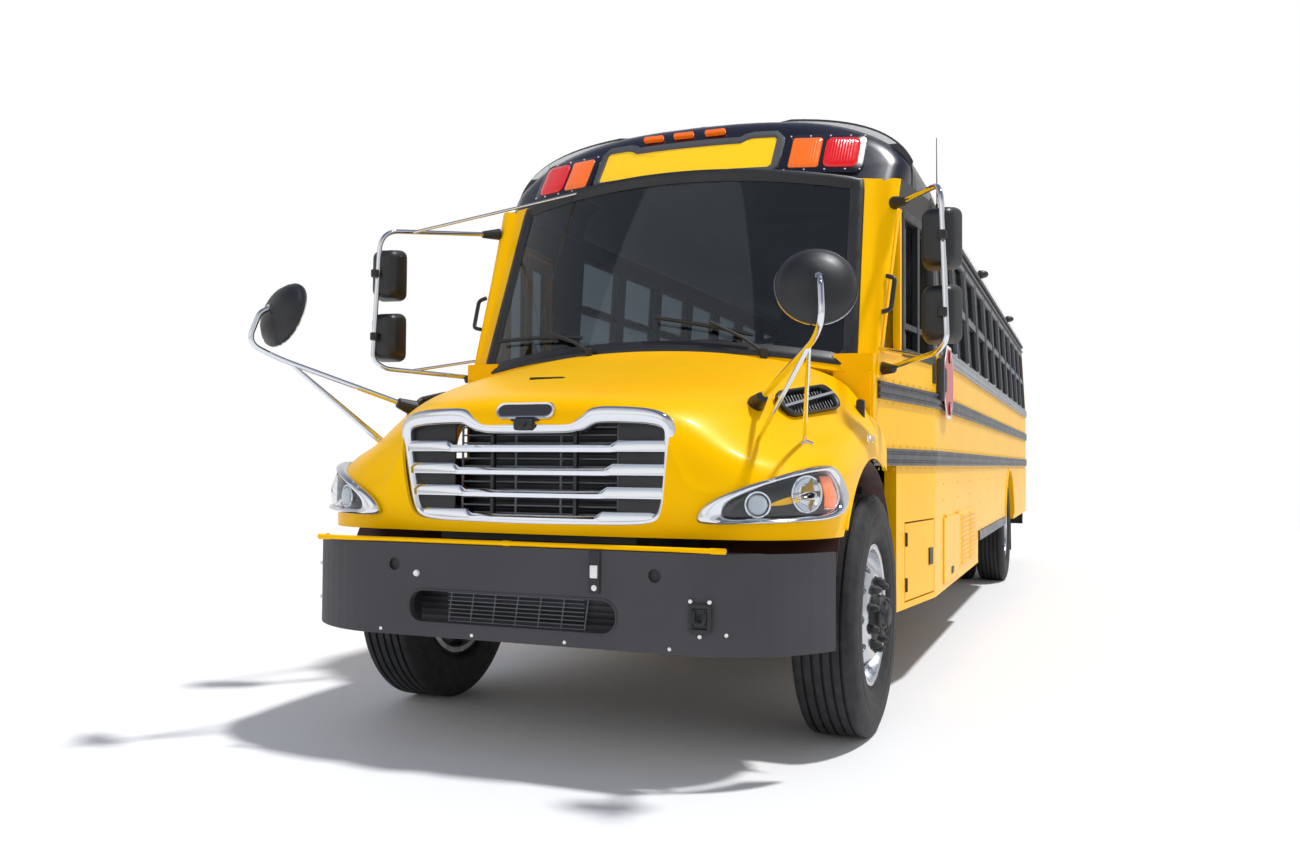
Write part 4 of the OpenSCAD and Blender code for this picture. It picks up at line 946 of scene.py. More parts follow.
def makeVents():
    rim = roundedBox(0.46, 0.125, 0.06, 8)
    rows = [[ventPoint(1, u, v, depth, s) for u, v in rim] for s, depth in
        ((1.02, -0.012), (1.02, 0.004), (0.98, 0.008), (0.92, 0.006), (0.88, -0.006), (0.87, -0.05))]
    frameRing = smooth(skin("ventRim", rows, closeRows=True), 60)
    modify(frameRing, "SOLIDIFY", thickness=0.002, offset=-1)
    well = smooth(skin("ventWell", [[ventPoint(1, u, v, -0.045, s) for u, v in rim] for s in (0.9, 0.4, 0.02)],
        closeRows=True))
    mesh = []
    for i in range(17):
        u = -0.20 + i * 0.025
        mesh.append(bar("ventSlat", [ventPoint(1, u - 0.015, -0.05, -0.018), ventPoint(1, u + 0.02, 0.05, -0.018)],
            0.0035, sides=6))
    dress(bothSides("hoodVents", join("ventParts", [frameRing, well] + mesh)), "hood", blackVinyl)
    blade = skin("ventBlade", [[ventPoint(1, u, v + 0.012 * u / 0.2, d) for v, d in
        ((-0.009, 0.0), (-0.006, 0.008), (0.006, 0.008), (0.009, 0.0), (0.0, -0.01))]
        for u in [-0.225 + 0.045 * k for k in range(11)]], closeRows=True, capEnds=True)
    dress(bothSides("ventBlades", smooth(blade, 40)), "hood", chrome)


def makeHoodTrim():
    # blank badge, the camera under it and the slot behind them
    oval = roundedBox(0.255, 0.068, 0.033, 8)
    tilt = Matrix.Translation(at(0, -1.052, 1.368)) @ Matrix.Rotation(radians(70), 4, "X")
    ring = skin("badgeRing", [[tilt @ Vector((x * s, y * (1 - (1 - s) * 3.5), d)) for x, y in oval] for s, d in
        ((1.0, -0.012), (1.0, 0.006), (0.97, 0.012), (0.93, 0.011), (0.91, 0.006), (0.91, -0.01))],
        closeRows=True)
    modify(smooth(ring, 60), "SOLIDIFY", thickness=0.002, offset=-1)
    dress(ring, "hood", chrome)
    face = plate("badgeFace", [(x * 0.93, y * 0.78) for x, y in oval], 0.014,
        tilt @ Matrix.Translation((0, 0, -0.007)))
    dress(face, "hood", blackGelcoat)
    cameraBody = block("noseCamera", at(-0.042, -1.082, 1.292), at(0.042, -1.028, 1.338), 0.012, 3)
    lens = rod("cameraLens", at(0.004, -1.092, 1.318), at(0.004, -1.08, 1.316), 0.013, 20)
    hoodPod = block("cameraMount", at(-0.062, -1.066, 1.328), at(0.062, -1.04, 1.345), 0.006, 2)
    dress(smooth(join("noseCamera", [cameraBody, lens, hoodPod])), "hood", cabinPlastic)
    slot = plate("hoodSlot", roundedBox(0.17, 0.026, 0.012), 0.006,
        Matrix.Translation(at(-0.14, -0.60, 1.527)) @ Matrix.Rotation(radians(-12), 4, "X"))
    dress(slot, "hood", cabinPlastic)
    # rubber latch near the rear edge, clear marker on the fender, and the arch lip
    latch = block("hoodLatch", at(1.012, 0.145, 1.335), at(1.05, 0.175, 1.445), 0.01, 3)
    latch.data.transform(Matrix.Translation((0.028, 0, 0.02)))
    dress(bothSides("hoodLatches", smooth(latch)), "hood", blackVinyl)
    marker = block("fenderMarker", at(1.136, -0.10, 1.262), at(1.158, 0.0, 1.298), 0.009, 3)
    dress(bothSides("fenderMarkers", smooth(marker)), "hood", clearLens)
    lip = []
    for k in range(41):
        angle = radians(-6 + 166 * k / 40)
        radius = hoodForm["archRadius"]
        base = at(1.146, -radius * cos(angle), wheelZ + radius * sin(angle))
        lip.append([base + Vector((0.008 * cos(t), -0.010 * sin(t) * cos(angle),
            0.010 * sin(t) * sin(angle))) for t in
            [2 * pi * j / 8 for j in range(8)]])
    keep = [row for row in lip if row[0].z > 0.9 and row[0].y < at(0, hoodRear(1.15) - 0.01, 0).y]
    lipPiece = formed("archLip", keep, 60)
    dress(bothSides("archLips", lipPiece), "hood", yellowEnamel)
    print("hood trim made")


# red-brown splash liner over each front wheel
def makeSplashLiners():
    rows = []
    for k in range(33):
        angle = radians(8 + 164 * k / 32)
        r = 0.668
        rows.append([at(x, -r * cos(angle), wheelZ + r * sin(angle)) for x in (0.56, 0.75, 0.95, 1.12)])
    liner = smooth(skin("splashLiner", rows), 60)
    modify(liner, "SOLIDIFY", thickness=0.006)
    inner = []
    for k in range(33):
        angle = radians(8 + 164 * k / 32)
        inner.append([at(0.56, -r * cos(angle), wheelZ + r * sin(angle)) for r in (0.668, 0.5, 0.30)])
    wall = skin("linerWall", inner)
    modify(wall, "SOLIDIFY", thickness=0.006)
    dress(bothSides("splashLiners", join("linerParts", [liner, wall])), "hood", linerPlastic)


makeHood()
makeVents()
makeGrille()
makeHeadlamps()
makeHoodTrim()
makeSplashLiners()


# ---- cap over the windshield, with its sign and lamps ----

capForm = {"halfWidth": 1.172, "eave": 2.602, "rise": 0.446, "squareX": 0.62, "squareZ": 0.8, "edgeRadius": 0.09,
    "faceStart": 0.575, "faceSlope": 0.72, "bow": 0.2, "back": 1.02}


def capFace(x, z):
    return capForm["faceStart"] + (z - 2.62) * capForm["faceSlope"] + capForm["bow"] * x * x


def capArch(inset, turn, y):
    width, rise = capForm["halfWidth"] - inset, capForm["rise"] - inset
    c, s = cos(turn), sin(turn)
    side = wallX - (1.45 - y) * tan(radians(7)) - 0.004 - inset
    x = width * copysign(abs(c) ** capForm["squareX"], c)
    return max(-side, min(side, x)), capForm["eave"] + rise * s ** capForm["squareZ"]


def makeCap():
    rows = []
    columns = [pi * k / 48 for k in range(49)]
    radius = capForm["edgeRadius"]
    plan = [(0.0, None), (0.0, 0.30), (0.0, 0.16)]
    plan += [(radius * (1 - cos(a)), radius * (1 - sin(a))) for a in
        [radians(15 * k) for k in range(0, 7)]]
    plan += [(inset, 0.0) for inset in (0.14, 0.20, 0.27, 0.34, 0.40)]
    for inset, depth in plan:
        row = []
        for turn in columns:
            x, z = capArch(inset, turn, 0.9)
            y = capForm["back"] if depth is None else min(capForm["back"] - 0.02 * depth, capFace(x, z) + depth)
            x, z = capArch(inset, turn, y)
            row.append(at(x, y, z))
        rows.append(row)
    cap = skin("capShell", rows)
    modify(cap, "SOLIDIFY", thickness=0.02, offset=-1)
    dress(smooth(cap, 40), "bus_body", blackGelcoat, ["front_cap"])


# a place on the cap's face, and a piece of outline laid on it
def onCap(x, z, out=0.0):
    way = Vector((0, -1, capForm["faceSlope"])).normalized()
    return at(x, capFace(x, z), z) + way * out


def capPanel(name, outline, rings):
    centre = Vector((sum(x for x, z in outline) / len(outline), sum(z for x, z in outline) / len(outline)))
    rows = []
    for shrink, out in rings:
        row = []
        for x, z in outline:
            p = Vector((x, z))
            q = p + (centre - p).normalized() * min(shrink, (centre - p).length)
            row.append(onCap(q.x, q.y, out))
        rows.append(row)
    return smooth(skin(name, rows, closeRows=True), 40)


def boxOutline(x0, x1, z0, z1, radius, grow=0.0):
    return [((x0 + x1) / 2 + x, (z0 + z1) / 2 + z) for x, z in
        roundedBox(abs(x1 - x0) + 2 * grow, z1 - z0 + 2 * grow, radius)]


def densify(outline, step=0.04):
    result = []
    for i, (x, z) in enumerate(outline):
        x2, z2 = outline[(i + 1) % len(outline)]
        count = max(1, int(hypot(x2 - x, z2 - z) / step))
        result += [(x + (x2 - x) * k / count, z + (z2 - z) * k / count) for k in range(count)]
    return result


def screwHeads(name, places):
    heads = []
    for p in places:
        clearSelection()
        bpy.ops.mesh.primitive_uv_sphere_add(segments=10, ring_count=6, radius=0.006, location=p)
        piece = bpy.context.object
        piece.scale = (1, 0.6, 1)
        heads.append(smooth(settle(piece), 60))
    return join(name, heads)


def makeCapLamps():
    amberPanels, redPanels, backs, screws = [], [], [], []
    for side in (1, -1):
        for kind, x0, x1 in (("amber", 0.575, 0.725), ("red", 0.745, 0.915)):
            outline = densify(boxOutline(side * x0, side * x1, 2.690, 2.878, 0.035 if kind == "red" else 0.014))
            rings = [(0.0, 0.002), (0.0, 0.016), (0.006, 0.022), (0.03, 0.024), (0.2, 0.024)]
            panel = capPanel(kind + "Panel", outline, rings)
            (amberPanels if kind == "amber" else redPanels).append(panel)
        back = densify(boxOutline(side * 0.545, side * 0.945, 2.662, 2.906, 0.05))
        backs.append(capPanel("lampBack", back, [(0.0, -0.004), (0.0, 0.008), (0.008, 0.012), (0.3, 0.012)]))
        for x in (0.56, 0.66, 0.76, 0.86, 0.93):
            for z in (2.676, 2.893):
                screws.append(onCap(side * x, z, 0.014))
    dress(join("amberLamps", amberPanels), "bus_body", amberLens, ["warning_lamps"])
    dress(join("redLamps", redPanels), "bus_body", redLens)
    dress(join("lampBacks", backs), "bus_body", blackGelcoat)
    dress(screwHeads("capScrews", screws), "bus_body", chrome)
    # blank lit sign in its grey frame, its upper edge stepped in the middle
    half = [(0.0, 2.868), (0.30, 2.868), (0.33, 2.888), (0.36, 2.896), (0.475, 2.896), (0.487, 2.884),
        (0.487, 2.712),
        (0.475, 2.70), (0.0, 2.70)]
    sign = densify(half + [(-x, z) for x, z in reversed(half[1:-1])], 0.05)
    face = capPanel("signFace", sign, [(0.0, 0.004), (0.0, 0.012), (0.1, 0.012), (0.3, 0.012), (0.6, 0.012)])
    dress(face, "bus_body", signFace)
    rim = []
    for grow, out in ((0.040, 0.0), (0.040, 0.016), (0.034, 0.022), (0.006, 0.022), (-0.002, 0.010),
            (-0.002, 0.002)):
        row = []
        for i, (x, z) in enumerate(sign):
            before, after = sign[i - 1], sign[(i + 1) % len(sign)]
            way = Vector((after[0] - before[0], after[1] - before[1])).normalized()
            outward = Vector((way.y, -way.x))
            if outward.dot(Vector((x * 0.3, z - 2.8))) < 0:
                outward = -outward
            row.append(onCap(x + outward.x * grow, z + outward.y * grow, out))
        rim.append(row)
    signFrame = smooth(skin("signFrame", rim, closeRows=True), 40)
    dress(signFrame, "bus_body", makeBlackPlastic("signFramePlastic", "#4A4B50", 0.4, 4.0, 0.1))
    # three small amber markers on the crown
    markers = []
    for x in (-0.22, -0.04, 0.14):
        base = onCap(x, 2.955, 0.0)
        turn = Matrix.Translation(base) @ Matrix.Rotation(radians(52), 4, "X")
        markers.append(plate("marker", roundedBox(0.115, 0.032, 0.01), 0.028, turn, 0.006))
    dress(join("crownMarkers", markers), "bus_body", amberLens)
    print("cap made")


# ---- windshield surround, wipers and pillars ----

screenForm = {"foot": (0.152, 1.752), "tilt": 22.7, "radius": 2.45, "halfWidth": 0.986, "height": 1.0}


# a place on the windshield: across, up its slope, and outward
def onScreen(x, up, out=0.0):
    y0, z0 = screenForm["foot"]
    tilt = radians(screenForm["tilt"])
    deep = screenForm["radius"] - sqrt(screenForm["radius"] ** 2 - x * x)
    depth = deep - out
    return at(x, y0 + up * sin(tilt) + depth * cos(tilt), z0 + up * cos(tilt) - depth * sin(tilt))


def screenOutline(grow):
    w, h = screenForm["halfWidth"], screenForm["height"]
    corners = [(w - 0.0, 0.03), (w - 0.04, -0.03), (0, -0.03), (-w + 0.04, -0.03), (-w, 0.03),
        (-w + 0.019, h / 2), (-w + 0.038, h), (0, h), (w - 0.038, h), (w - 0.019, h / 2)]
    outline = densify(corners, 0.05)
    result = []
    for i, (x, z) in enumerate(outline):
        before, after = outline[i - 1], outline[(i + 1) % len(outline)]
        way = Vector((after[0] - before[0], after[1] - before[1])).normalized()
        outward = Vector((way.y, -way.x))
        if outward.dot(Vector((x * 0.5, z - h / 2))) < 0:
            outward = -outward
        result.append((x + outward.x * grow, z + outward.y * grow))
    return result


def makeScreenTrim():
    rows = []
    for grow, out in ((0.020, -0.006), (0.020, 0.004), (0.012, 0.008), (-0.010, 0.006), (-0.020, 0.001),
            (-0.048, -0.0065), (-0.048, -0.0075)):
        rows.append([onScreen(x, z, out) for x, z in screenOutline(grow)])
    seal = smooth(skin("screenSeal", rows, closeRows=True), 50)
    dress(seal, "bus_body", blackVinyl)
    wipers = []
    for side, tip in ((1, 0.10), (-1, -0.86)):
        root = 0.60 if side > 0 else -0.28
        pivot = onScreen(root, -0.045, 0.03)
        wipers.append(rod("wiperCap", pivot - Vector((0, 0, 0.03)), pivot + Vector((0, -0.004, 0.02)), 0.018, 20,
            bevel=0.004))
        middleSpot = onScreen((root + tip) / 2 - 0.02 * side, 0.10, 0.035)
        wipers.append(bar("wiperArm", [pivot, onScreen(root - 0.10, 0.02, 0.04), middleSpot], 0.008, 0.05, sides=8))
        blade = [onScreen(tip + (root - tip) * k / 10 - 0.06, 0.125 - 0.085 * k / 10 * (1 if side > 0 else 1),
            0.016)
            for k in range(11)]
        rows = [[p, p + Vector((0, -0.012, 0.006)), p + Vector((0, -0.010, 0.018)), p + Vector((0, 0.0, 0.012))]
            for p in blade]
        wipers.append(formed("wiperBlade", rows, 40))
    dress(join("wipers", wipers), "bus_body", cabinPlastic)
    print("windshield trim made")


cabSide = {"front": 0.38, "corner": 1.45, "taper": 7.0}


# a place on the tapered cab side: u runs back from its front edge, out is outward
def onCab(side, u, z, out=0.0):
    taper = radians(cabSide["taper"])
    length = (cabSide["corner"] - cabSide["front"]) / cos(taper)
    x = wallX - (length - u) * sin(taper) + out * cos(taper)
    y = cabSide["front"] + u * cos(taper) - out * sin(taper)
    return at(side * x, y, z)


def cabU(y):
    return (y - cabSide["front"]) / cos(radians(cabSide["taper"]))


# rounded yellow pillar skins that close the corner between the glass and the cab side
def makePillars():
    rows = []
    for k in range(13):
        up = -0.10 + 1.115 * k / 12
        inner = onScreen(screenForm["halfWidth"] + 0.022 - 0.038 * max(0, up), up, 0.003)
        z = inner.z
        sideU = 0.055 + max(0.0, z - 1.715) * 0.395 - 0.01
        back = onCab(1, sideU, z, 0.004)
        front = onScreen(screenForm["halfWidth"] + 0.075 - 0.03 * max(0, up), up, 0.004)
        corner = Vector(((front.x + back.x) / 2 + 0.014, (front.y + back.y) / 2 - 0.016, z))
        line = [inner - Vector((0, -0.012, 0)), inner, front, corner, back, back + Vector((-0.012, 0, 0))]
        path = []
        for i in range(1, len(line) - 2):
            p = line[i - 1:i + 3]
            for s in range(4):
                t = s / 4
                path.append(0.5 * (2 * p[1] + (p[2] - p[0]) * t + (2 * p[0] - 5 * p[1] + 4 * p[2] - p[3]) * t * t
                    + (3 * p[1] - p[0] - 3 * p[2] + p[3]) * t ** 3))
        path.append(back)
        rows.append([line[0]] + path + [line[-1]])
    pillar = smooth(skin("pillarSkin", rows), 60)
    dress(bothSides("pillarSkins", pillar), "bus_body", yellowEnamel)


# ---- mirrors ----

def mirrorHead(name, centre, width, height, depth, yaw):
    clearSelection()
    bpy.ops.mesh.primitive_cube_add(size=1, location=(0, 0, 0))
    head = bpy.context.object
    head.scale = (width, depth, height)
    settle(head)
    # the front is drawn in, and every edge is rounded
    for vertex in head.data.vertices:
        if vertex.co.y < 0:
            vertex.co.x *= 0.70
            vertex.co.z *= 0.84
    modify(head, "BEVEL", width=min(width, depth) * 0.30, segments=5, limit_method="NONE")
    pick(head)
    head.data.transform(Matrix.Translation(centre) @ Matrix.Rotation(radians(yaw), 4, "Z"))
    head.name = name
    return smooth(head, 50)


def makeMirrors():
    loop = bar("mirrorLoop", [onCab(1, 0.32, 2.475, 0.03), at(1.435, -0.005, 2.378), at(1.462, -0.02, 1.70),
        at(1.415, 0.02, 1.655), onCab(1, 0.11, 1.632, 0.03)], 0.0125, 0.11, 8)
    foot = bar("footBrace", [onCab(1, 0.03, 1.72, 0.01), at(1.33, 0.16, 1.655)], 0.008, sides=10)
    clips = [rod("clip", at(1.445, -0.035, z), at(1.445, -0.035, z + 0.04), 0.021, 16, bevel=0.004)
        for z in (2.13, 1.80)]
    dress(bothSides("mirrorLoops", join("loopParts", [loop, foot])), "bus_body", chrome,
        ["main_mirrors"])
    brace = bar("signBrace", [onCap(-0.50, 2.672, 0.004), at(-1.33, 0.14, 2.392)], 0.008, sides=10)
    dress(brace, "bus_body", chrome)
    heads = [mirrorHead("upperMirror", at(1.425, 0.055, 2.155), 0.185, 0.285, 0.135, -8),
        mirrorHead("lowerMirror", at(1.425, 0.055, 1.825), 0.185, 0.27, 0.135, -8)]
    brackets = []
    for u, z in ((0.32, 2.475), (0.11, 1.632)):
        brackets.append(rod("mirrorFoot", onCab(1, u, z, -0.01), onCab(1, u - 0.07, z - 0.012, 0.075), 0.034, 20,
            tip=0.019, bevel=0.008))
    dress(bothSides("mirrorHeads", join("headParts", heads + brackets + clips)), "bus_body", mirrorPlastic)
    faces = []
    for z, tall in ((2.155, 0.235), (1.825, 0.22)):
        turn = (Matrix.Translation(at(1.425, 0.055, z)) @ Matrix.Rotation(radians(-8), 4, "Z")
            @ Matrix.Translation((0, 0.068, 0)) @ Matrix.Rotation(radians(-90), 4, "X"))
        faces.append(plate("mirrorFace", roundedBox(0.145, tall, 0.03), 0.003, turn))
    silver = finish("silveredMirrorGlass", "#E6E9EC", 0.03, Metallic=1.0)[0]
    dress(bothSides("mirrorGlasses", join("mirrorFaces", faces)), "bus_body", silver)
    print("mirrors made")


def makeCrossviews():
    centre = at(1.151, -1.085, 1.79)
    aim = Vector((-0.30, 0.86, -0.30)).normalized()
    side = aim.cross(Vector((0, 0, 1))).normalized()
    up = side.cross(aim)

    def bowl(profile, count=48):
        return [[centre + aim * d + side * r * cos(2 * pi * j / count)
            + up * r * sin(2 * pi * j / count) for j in range(count)] for r, d in profile]
    shell = smooth(skin("dishBack", bowl([(0.004, -0.058), (0.03, -0.057), (0.07, -0.050), (0.11, -0.034),
        (0.135, -0.012),
        (0.141, 0.0), (0.145, 0.002), (0.145, 0.010), (0.138, 0.012)]), closeRows=True), 60)
    ring = smooth(skin("dishRing", bowl([(0.141, 0.010), (0.1465, 0.010), (0.1465, 0.015), (0.137, 0.016)]),
        closeRows=True), 60)
    glass = smooth(skin("dishGlass", bowl([(0.138, 0.014), (0.12, 0.026), (0.09, 0.040), (0.05, 0.050),
        (0.01, 0.053)]),
        closeRows=True), 60)
    hub = centre - aim * 0.062
    knee = at(1.205, -1.232, 1.655)
    elbow = at(1.15, -1.11, 1.60)
    stem = bar("dishStem", [hub, centre - aim * 0.085 + Vector((0.01, -0.02, -0.03)), knee, elbow,
        at(0.83, -0.66, 1.425)],
        0.0115, 0.06, 7)
    rods = [stem]
    for foot in (at(0.985, -0.585, 1.262), at(0.852, -0.79, 1.248)):
        rods.append(bar("dishBrace", [elbow + Vector((-0.03, 0.045, -0.02)), foot], 0.0085, sides=10))
        tripod = []
        for k in range(3):
            angle = 2 * pi * k / 3 + 0.4
            tripod.append(rod("footToe", foot, foot + Vector((0.034 * cos(angle), 0.034 * sin(angle), -0.014)),
                0.008, 10, bevel=0.002))
        rods += tripod
    nut = rod("dishNut", hub - aim * 0.012, hub + aim * 0.006, 0.014, 6)
    dress(bothSides("crossviewRods", join("crossviewParts", rods + [ring, nut])), "hood", chrome,
        ["crossview_mirrors"])
    cup = rod("rodCup", at(0.845, -0.685, 1.432), at(0.795, -0.615, 1.405), 0.022, 20, tip=0.038, bevel=0.006)
    dress(bothSides("crossviewBacks", join("dishParts", [shell, cup])), "hood", mirrorPlastic)
    silver = bpy.data.materials["silveredMirrorGlass"]
    dress(bothSides("crossviewGlasses", glass), "hood", silver)
    print("crossview mirrors made")


makeCap()
makeCapLamps()
makeScreenTrim()
makePillars()
makeMirrors()
makeCrossviews()


# ---- wheels and tyres ----

tyreForm = {"halfWidth": 0.139, "grooves": (-0.078, -0.039, 0.0, 0.039, 0.078), "grooveDepth": 0.014}


# turns a closed (radius, across) outline round an axle along X
def spun(name, profile, x, y, side=1, steps=112):
    rows = []
    for k in range(steps):
        angle = 2 * pi * k / steps
        rows.append([at(x + side * across, y + r * sin(angle), wheelZ + r * cos(angle))
            for r, across in profile])
    return smooth(skin(name, rows, closeRows=True, closeEnds=True), 34)


def tyreProfile():
    wall = [(0.286, 0.102), (0.304, 0.104), (0.312, 0.110), (0.318, 0.109), (0.326, 0.122), (0.345, 0.131),
        (0.368, 0.1365), (0.372, 0.1355), (0.376, 0.138), (0.405, 0.139), (0.430, 0.1385), (0.434, 0.137),
        (0.438, 0.138), (0.460, 0.136), (0.480, 0.131), (0.497, 0.1245), (0.500, 0.121), (0.503, 0.1215),
        (0.514, 0.114), (0.5195, 0.106)]
    crown = []
    for c in tyreForm["grooves"]:
        deep = 0.520 - tyreForm["grooveDepth"]
        crown += [(0.520, c - 0.0065), (deep, c - 0.0035), (deep, c + 0.0035), (0.520, c + 0.0065)]
    return [(r, -a) for r, a in wall] + crown + wall[::-1]


def wheelProfile(dish, root):
    return [(0.304, 0.106), (0.304, 0.112), (0.291, 0.1135), (0.281, 0.108), (0.277, 0.088), (0.270, 0.066),
        (0.257, 0.044), (0.254, max(root + 0.016, -0.03)), (0.246, root + 0.012), (0.236, root + 0.013),
        (0.226, root + 0.30 * (dish - root) + 0.012), (0.204, root + 0.72 * (dish - root) + 0.012),
        (0.186, dish + 0.008), (0.172, dish + 0.0125), (0.118, dish + 0.0125), (0.078, dish + 0.0125),
        (0.078, dish + 0.001), (0.172, dish), (0.190, dish - 0.006), (0.212, root + 0.55 * (dish - root)),
        (0.234, root - 0.004), (0.250, root - 0.012), (0.256, -0.062), (0.277, -0.085), (0.279, -0.112),
        (0.304, -0.112), (0.304, -0.106), (0.287, -0.104), (0.287, -0.076), (0.267, -0.043), (0.267, 0.043),
        (0.287, 0.076), (0.287, 0.104)]


hubForm = {"studs": 10, "studRadius": 0.143, "holeRadius": 0.216, "hole": 0.0235}


def pierced(name, profile, x, y, side):
    wheel = spun(name, profile, x, y, side)
    drills = []
    for k in range(hubForm["studs"]):
        angle = 2 * pi * (k + 0.5) / hubForm["studs"]
        spot = (y + hubForm["holeRadius"] * sin(angle), wheelZ + hubForm["holeRadius"] * cos(angle))
        drills.append(rod("drill", at(x - 0.24, *spot), at(x + 0.24, *spot), hubForm["hole"], 20))
    return cut(wheel, join("drills", drills))


# hub and its bolts, standing on the disc's face
def hubParts(x, y, face, reach, side):
    turned = [(0.002, reach), (0.036, reach), (0.046, reach - 0.004), (0.050, reach - 0.016),
        (0.074, reach - 0.022),
        (0.086, reach - 0.028), (0.088, reach - 0.036), (0.084, reach - 0.040), (0.084, face + 0.016),
        (0.100, face + 0.008), (0.112, face + 0.001), (0.112, face - 0.02), (0.002, face - 0.02)]
    pieces = [spun("turnedHub", turned, x, y, side, 48)]
    for k in range(8):
        angle = 2 * pi * (k + 0.3) / 8
        spot = (y + 0.066 * sin(angle), wheelZ + 0.066 * cos(angle))
        pieces.append(rod("hubBolt", at(x + side * (reach - 0.024), *spot), at(x + side * (reach - 0.012), *spot),
            0.009, 6, bevel=0.0015))
    return pieces


def nutParts(x, y, face, side):
    nuts = []
    for k in range(hubForm["studs"]):
        angle = 2 * pi * k / hubForm["studs"]
        spot = (y + hubForm["studRadius"] * sin(angle), wheelZ + hubForm["studRadius"] * cos(angle))
        nuts.append(rod("nutFlange", at(x + side * face, *spot), at(x + side * (face + 0.006), *spot), 0.023, 20,
            bevel=0.002))
        nuts.append(rod("nutHex", at(x + side * (face + 0.005), *spot), at(x + side * (face + 0.030), *spot), 0.019,
            6, bevel=0.002))
        nuts.append(rod("nutCap", at(x + side * (face + 0.029), *spot), at(x + side * (face + 0.044), *spot),
            0.0155,
            16, tip=0.009, bevel=0.003))
    return nuts


def makeWheels():
    rearMiddle = rearAxle - frontAxle
    track = (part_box("front_left_tyre")[0][0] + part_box("front_left_tyre")[1][0]) / 2
    low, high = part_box("rear_left_tyres")[0][0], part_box("rear_left_tyres")[1][0]
    inner, outer = low + 0.1395, high - 0.1395
    middleX = (inner + outer) / 2
    for word, side in (("left", 1), ("right", -1)):
        body = "front_" + word + "_wheel"
        tyre = spun(body + "Tyre", tyreProfile(), side * track, 0.0, side)
        dress(tyre, body, tyreRubber, ["front_" + word + "_tyre"])
        disc = pierced(body + "Disc", wheelProfile(0.108, 0.052), side * track, 0.0, side)
        dress(smooth(disc, 34), body, aluminium, ["front_" + word + "_wheel"])
        hub = join(body + "Hub", hubParts(side * track, 0.0, 0.121, 0.186, side))
        dress(hub, body, castIron)
        nuts = join(body + "Nuts", nutParts(side * track, 0.0, 0.1205, side))
        dress(smooth(nuts, 40), body, castIron)
        body = "rear_" + word + "_wheels"
        tyres = [spun(body + "Tyre", tyreProfile(), side * x, rearMiddle, side) for x in (inner, outer)]
        dress(join(body + "Tyres", tyres), body, tyreRubber, ["rear_" + word + "_tyres"])
        deep = -(outer - inner) / 2
        discs = [pierced(body + "Disc", wheelProfile(deep, -0.045), side * outer, rearMiddle, side),
            pierced(body + "Disc", wheelProfile(deep, -0.045), side * inner, rearMiddle, -side)]
        dress(smooth(join(body + "Discs", discs), 34), body, aluminium,
            ["rear_" + word + "_wheels"])
        hub = join(body + "Hub", hubParts(side * middleX, rearMiddle, 0.013, 0.196, side))
        dress(hub, body, castIron)
        nuts = join(body + "Nuts", nutParts(side * middleX, rearMiddle, 0.0125, side))
        dress(smooth(nuts, 40), body, chrome)
    print("wheels made")


# ---- side rails, rivets and windows ----

sideForm = {"corner": 1.45, "rails": (1.207, 1.526, 1.811), "railTop": 0.042, "railOut": 0.016, "sill": 1.85,
    "lean": 0.045, "eave": 2.62, "windowPitch": 0.72, "windowFirst": 2.15, "windows": 11}
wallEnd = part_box("left_side")[1][1] - frontAxle


# a place on the outside of the body: straight and leaning behind the corner, tapered ahead of it
def sideSpot(side, y, z, out=0.0):
    if y < sideForm["corner"]:
        return onCab(side, cabU(y), z, out)
    lean = sideForm["lean"] * max(0.0, z - sideForm["sill"]) / (sideForm["eave"] - sideForm["sill"])
    return at(side * (wallX - lean + out), y, z)


def railPiece(side, z, start, end):
    tall, out = sideForm["railTop"], sideForm["railOut"]
    ribs = [(-0.002, -tall), (out * 0.7, -tall), (out, -tall + 0.005), (out, -0.028), (out * 0.6, -0.024),
        (out * 0.6, -0.016), (out, -0.012), (out, 0.012), (out * 0.6, 0.016), (out * 0.6, 0.024), (out, 0.028),
        (out, tall - 0.005), (out * 0.7, tall), (-0.002, tall)]
    stations = [start] + [y for y in (sideForm["corner"] - 0.001, sideForm["corner"] + 0.001) if start < y] + [end]
    rows = [[sideSpot(side, y, z + up, o) for o, up in ribs] for y in stations]
    return formed("rubRail", rows, 30)


# low round rivet heads in one mesh
def rivets(name, spots, radius=0.007, height=0.0035):
    points, faces = [], []
    for spot, normal in spots:
        side = normal.orthogonal().normalized()
        up = normal.cross(side)
        base = len(points)
        for reach, out in ((radius, 0.0), (radius * 0.7, height * 0.8)):
            points += [spot + (side * cos(a) + up * sin(a)) * reach + normal * out
                for a in [2 * pi * k / 8 for k in range(8)]]
        points.append(spot + normal * height)
        for k in range(8):
            j = (k + 1) % 8
            faces.append((base + k, base + j, base + 8 + j, base + 8 + k))
            faces.append((base + 8 + k, base + 8 + j, base + 16))
    mesh = bpy.data.meshes.new(name)
    mesh.from_pydata([tuple(p) for p in points], [], faces)
    piece = bpy.data.objects.new(name, mesh)
    bpy.context.scene.collection.objects.link(piece)
    return smooth(recalculate(piece), 80)


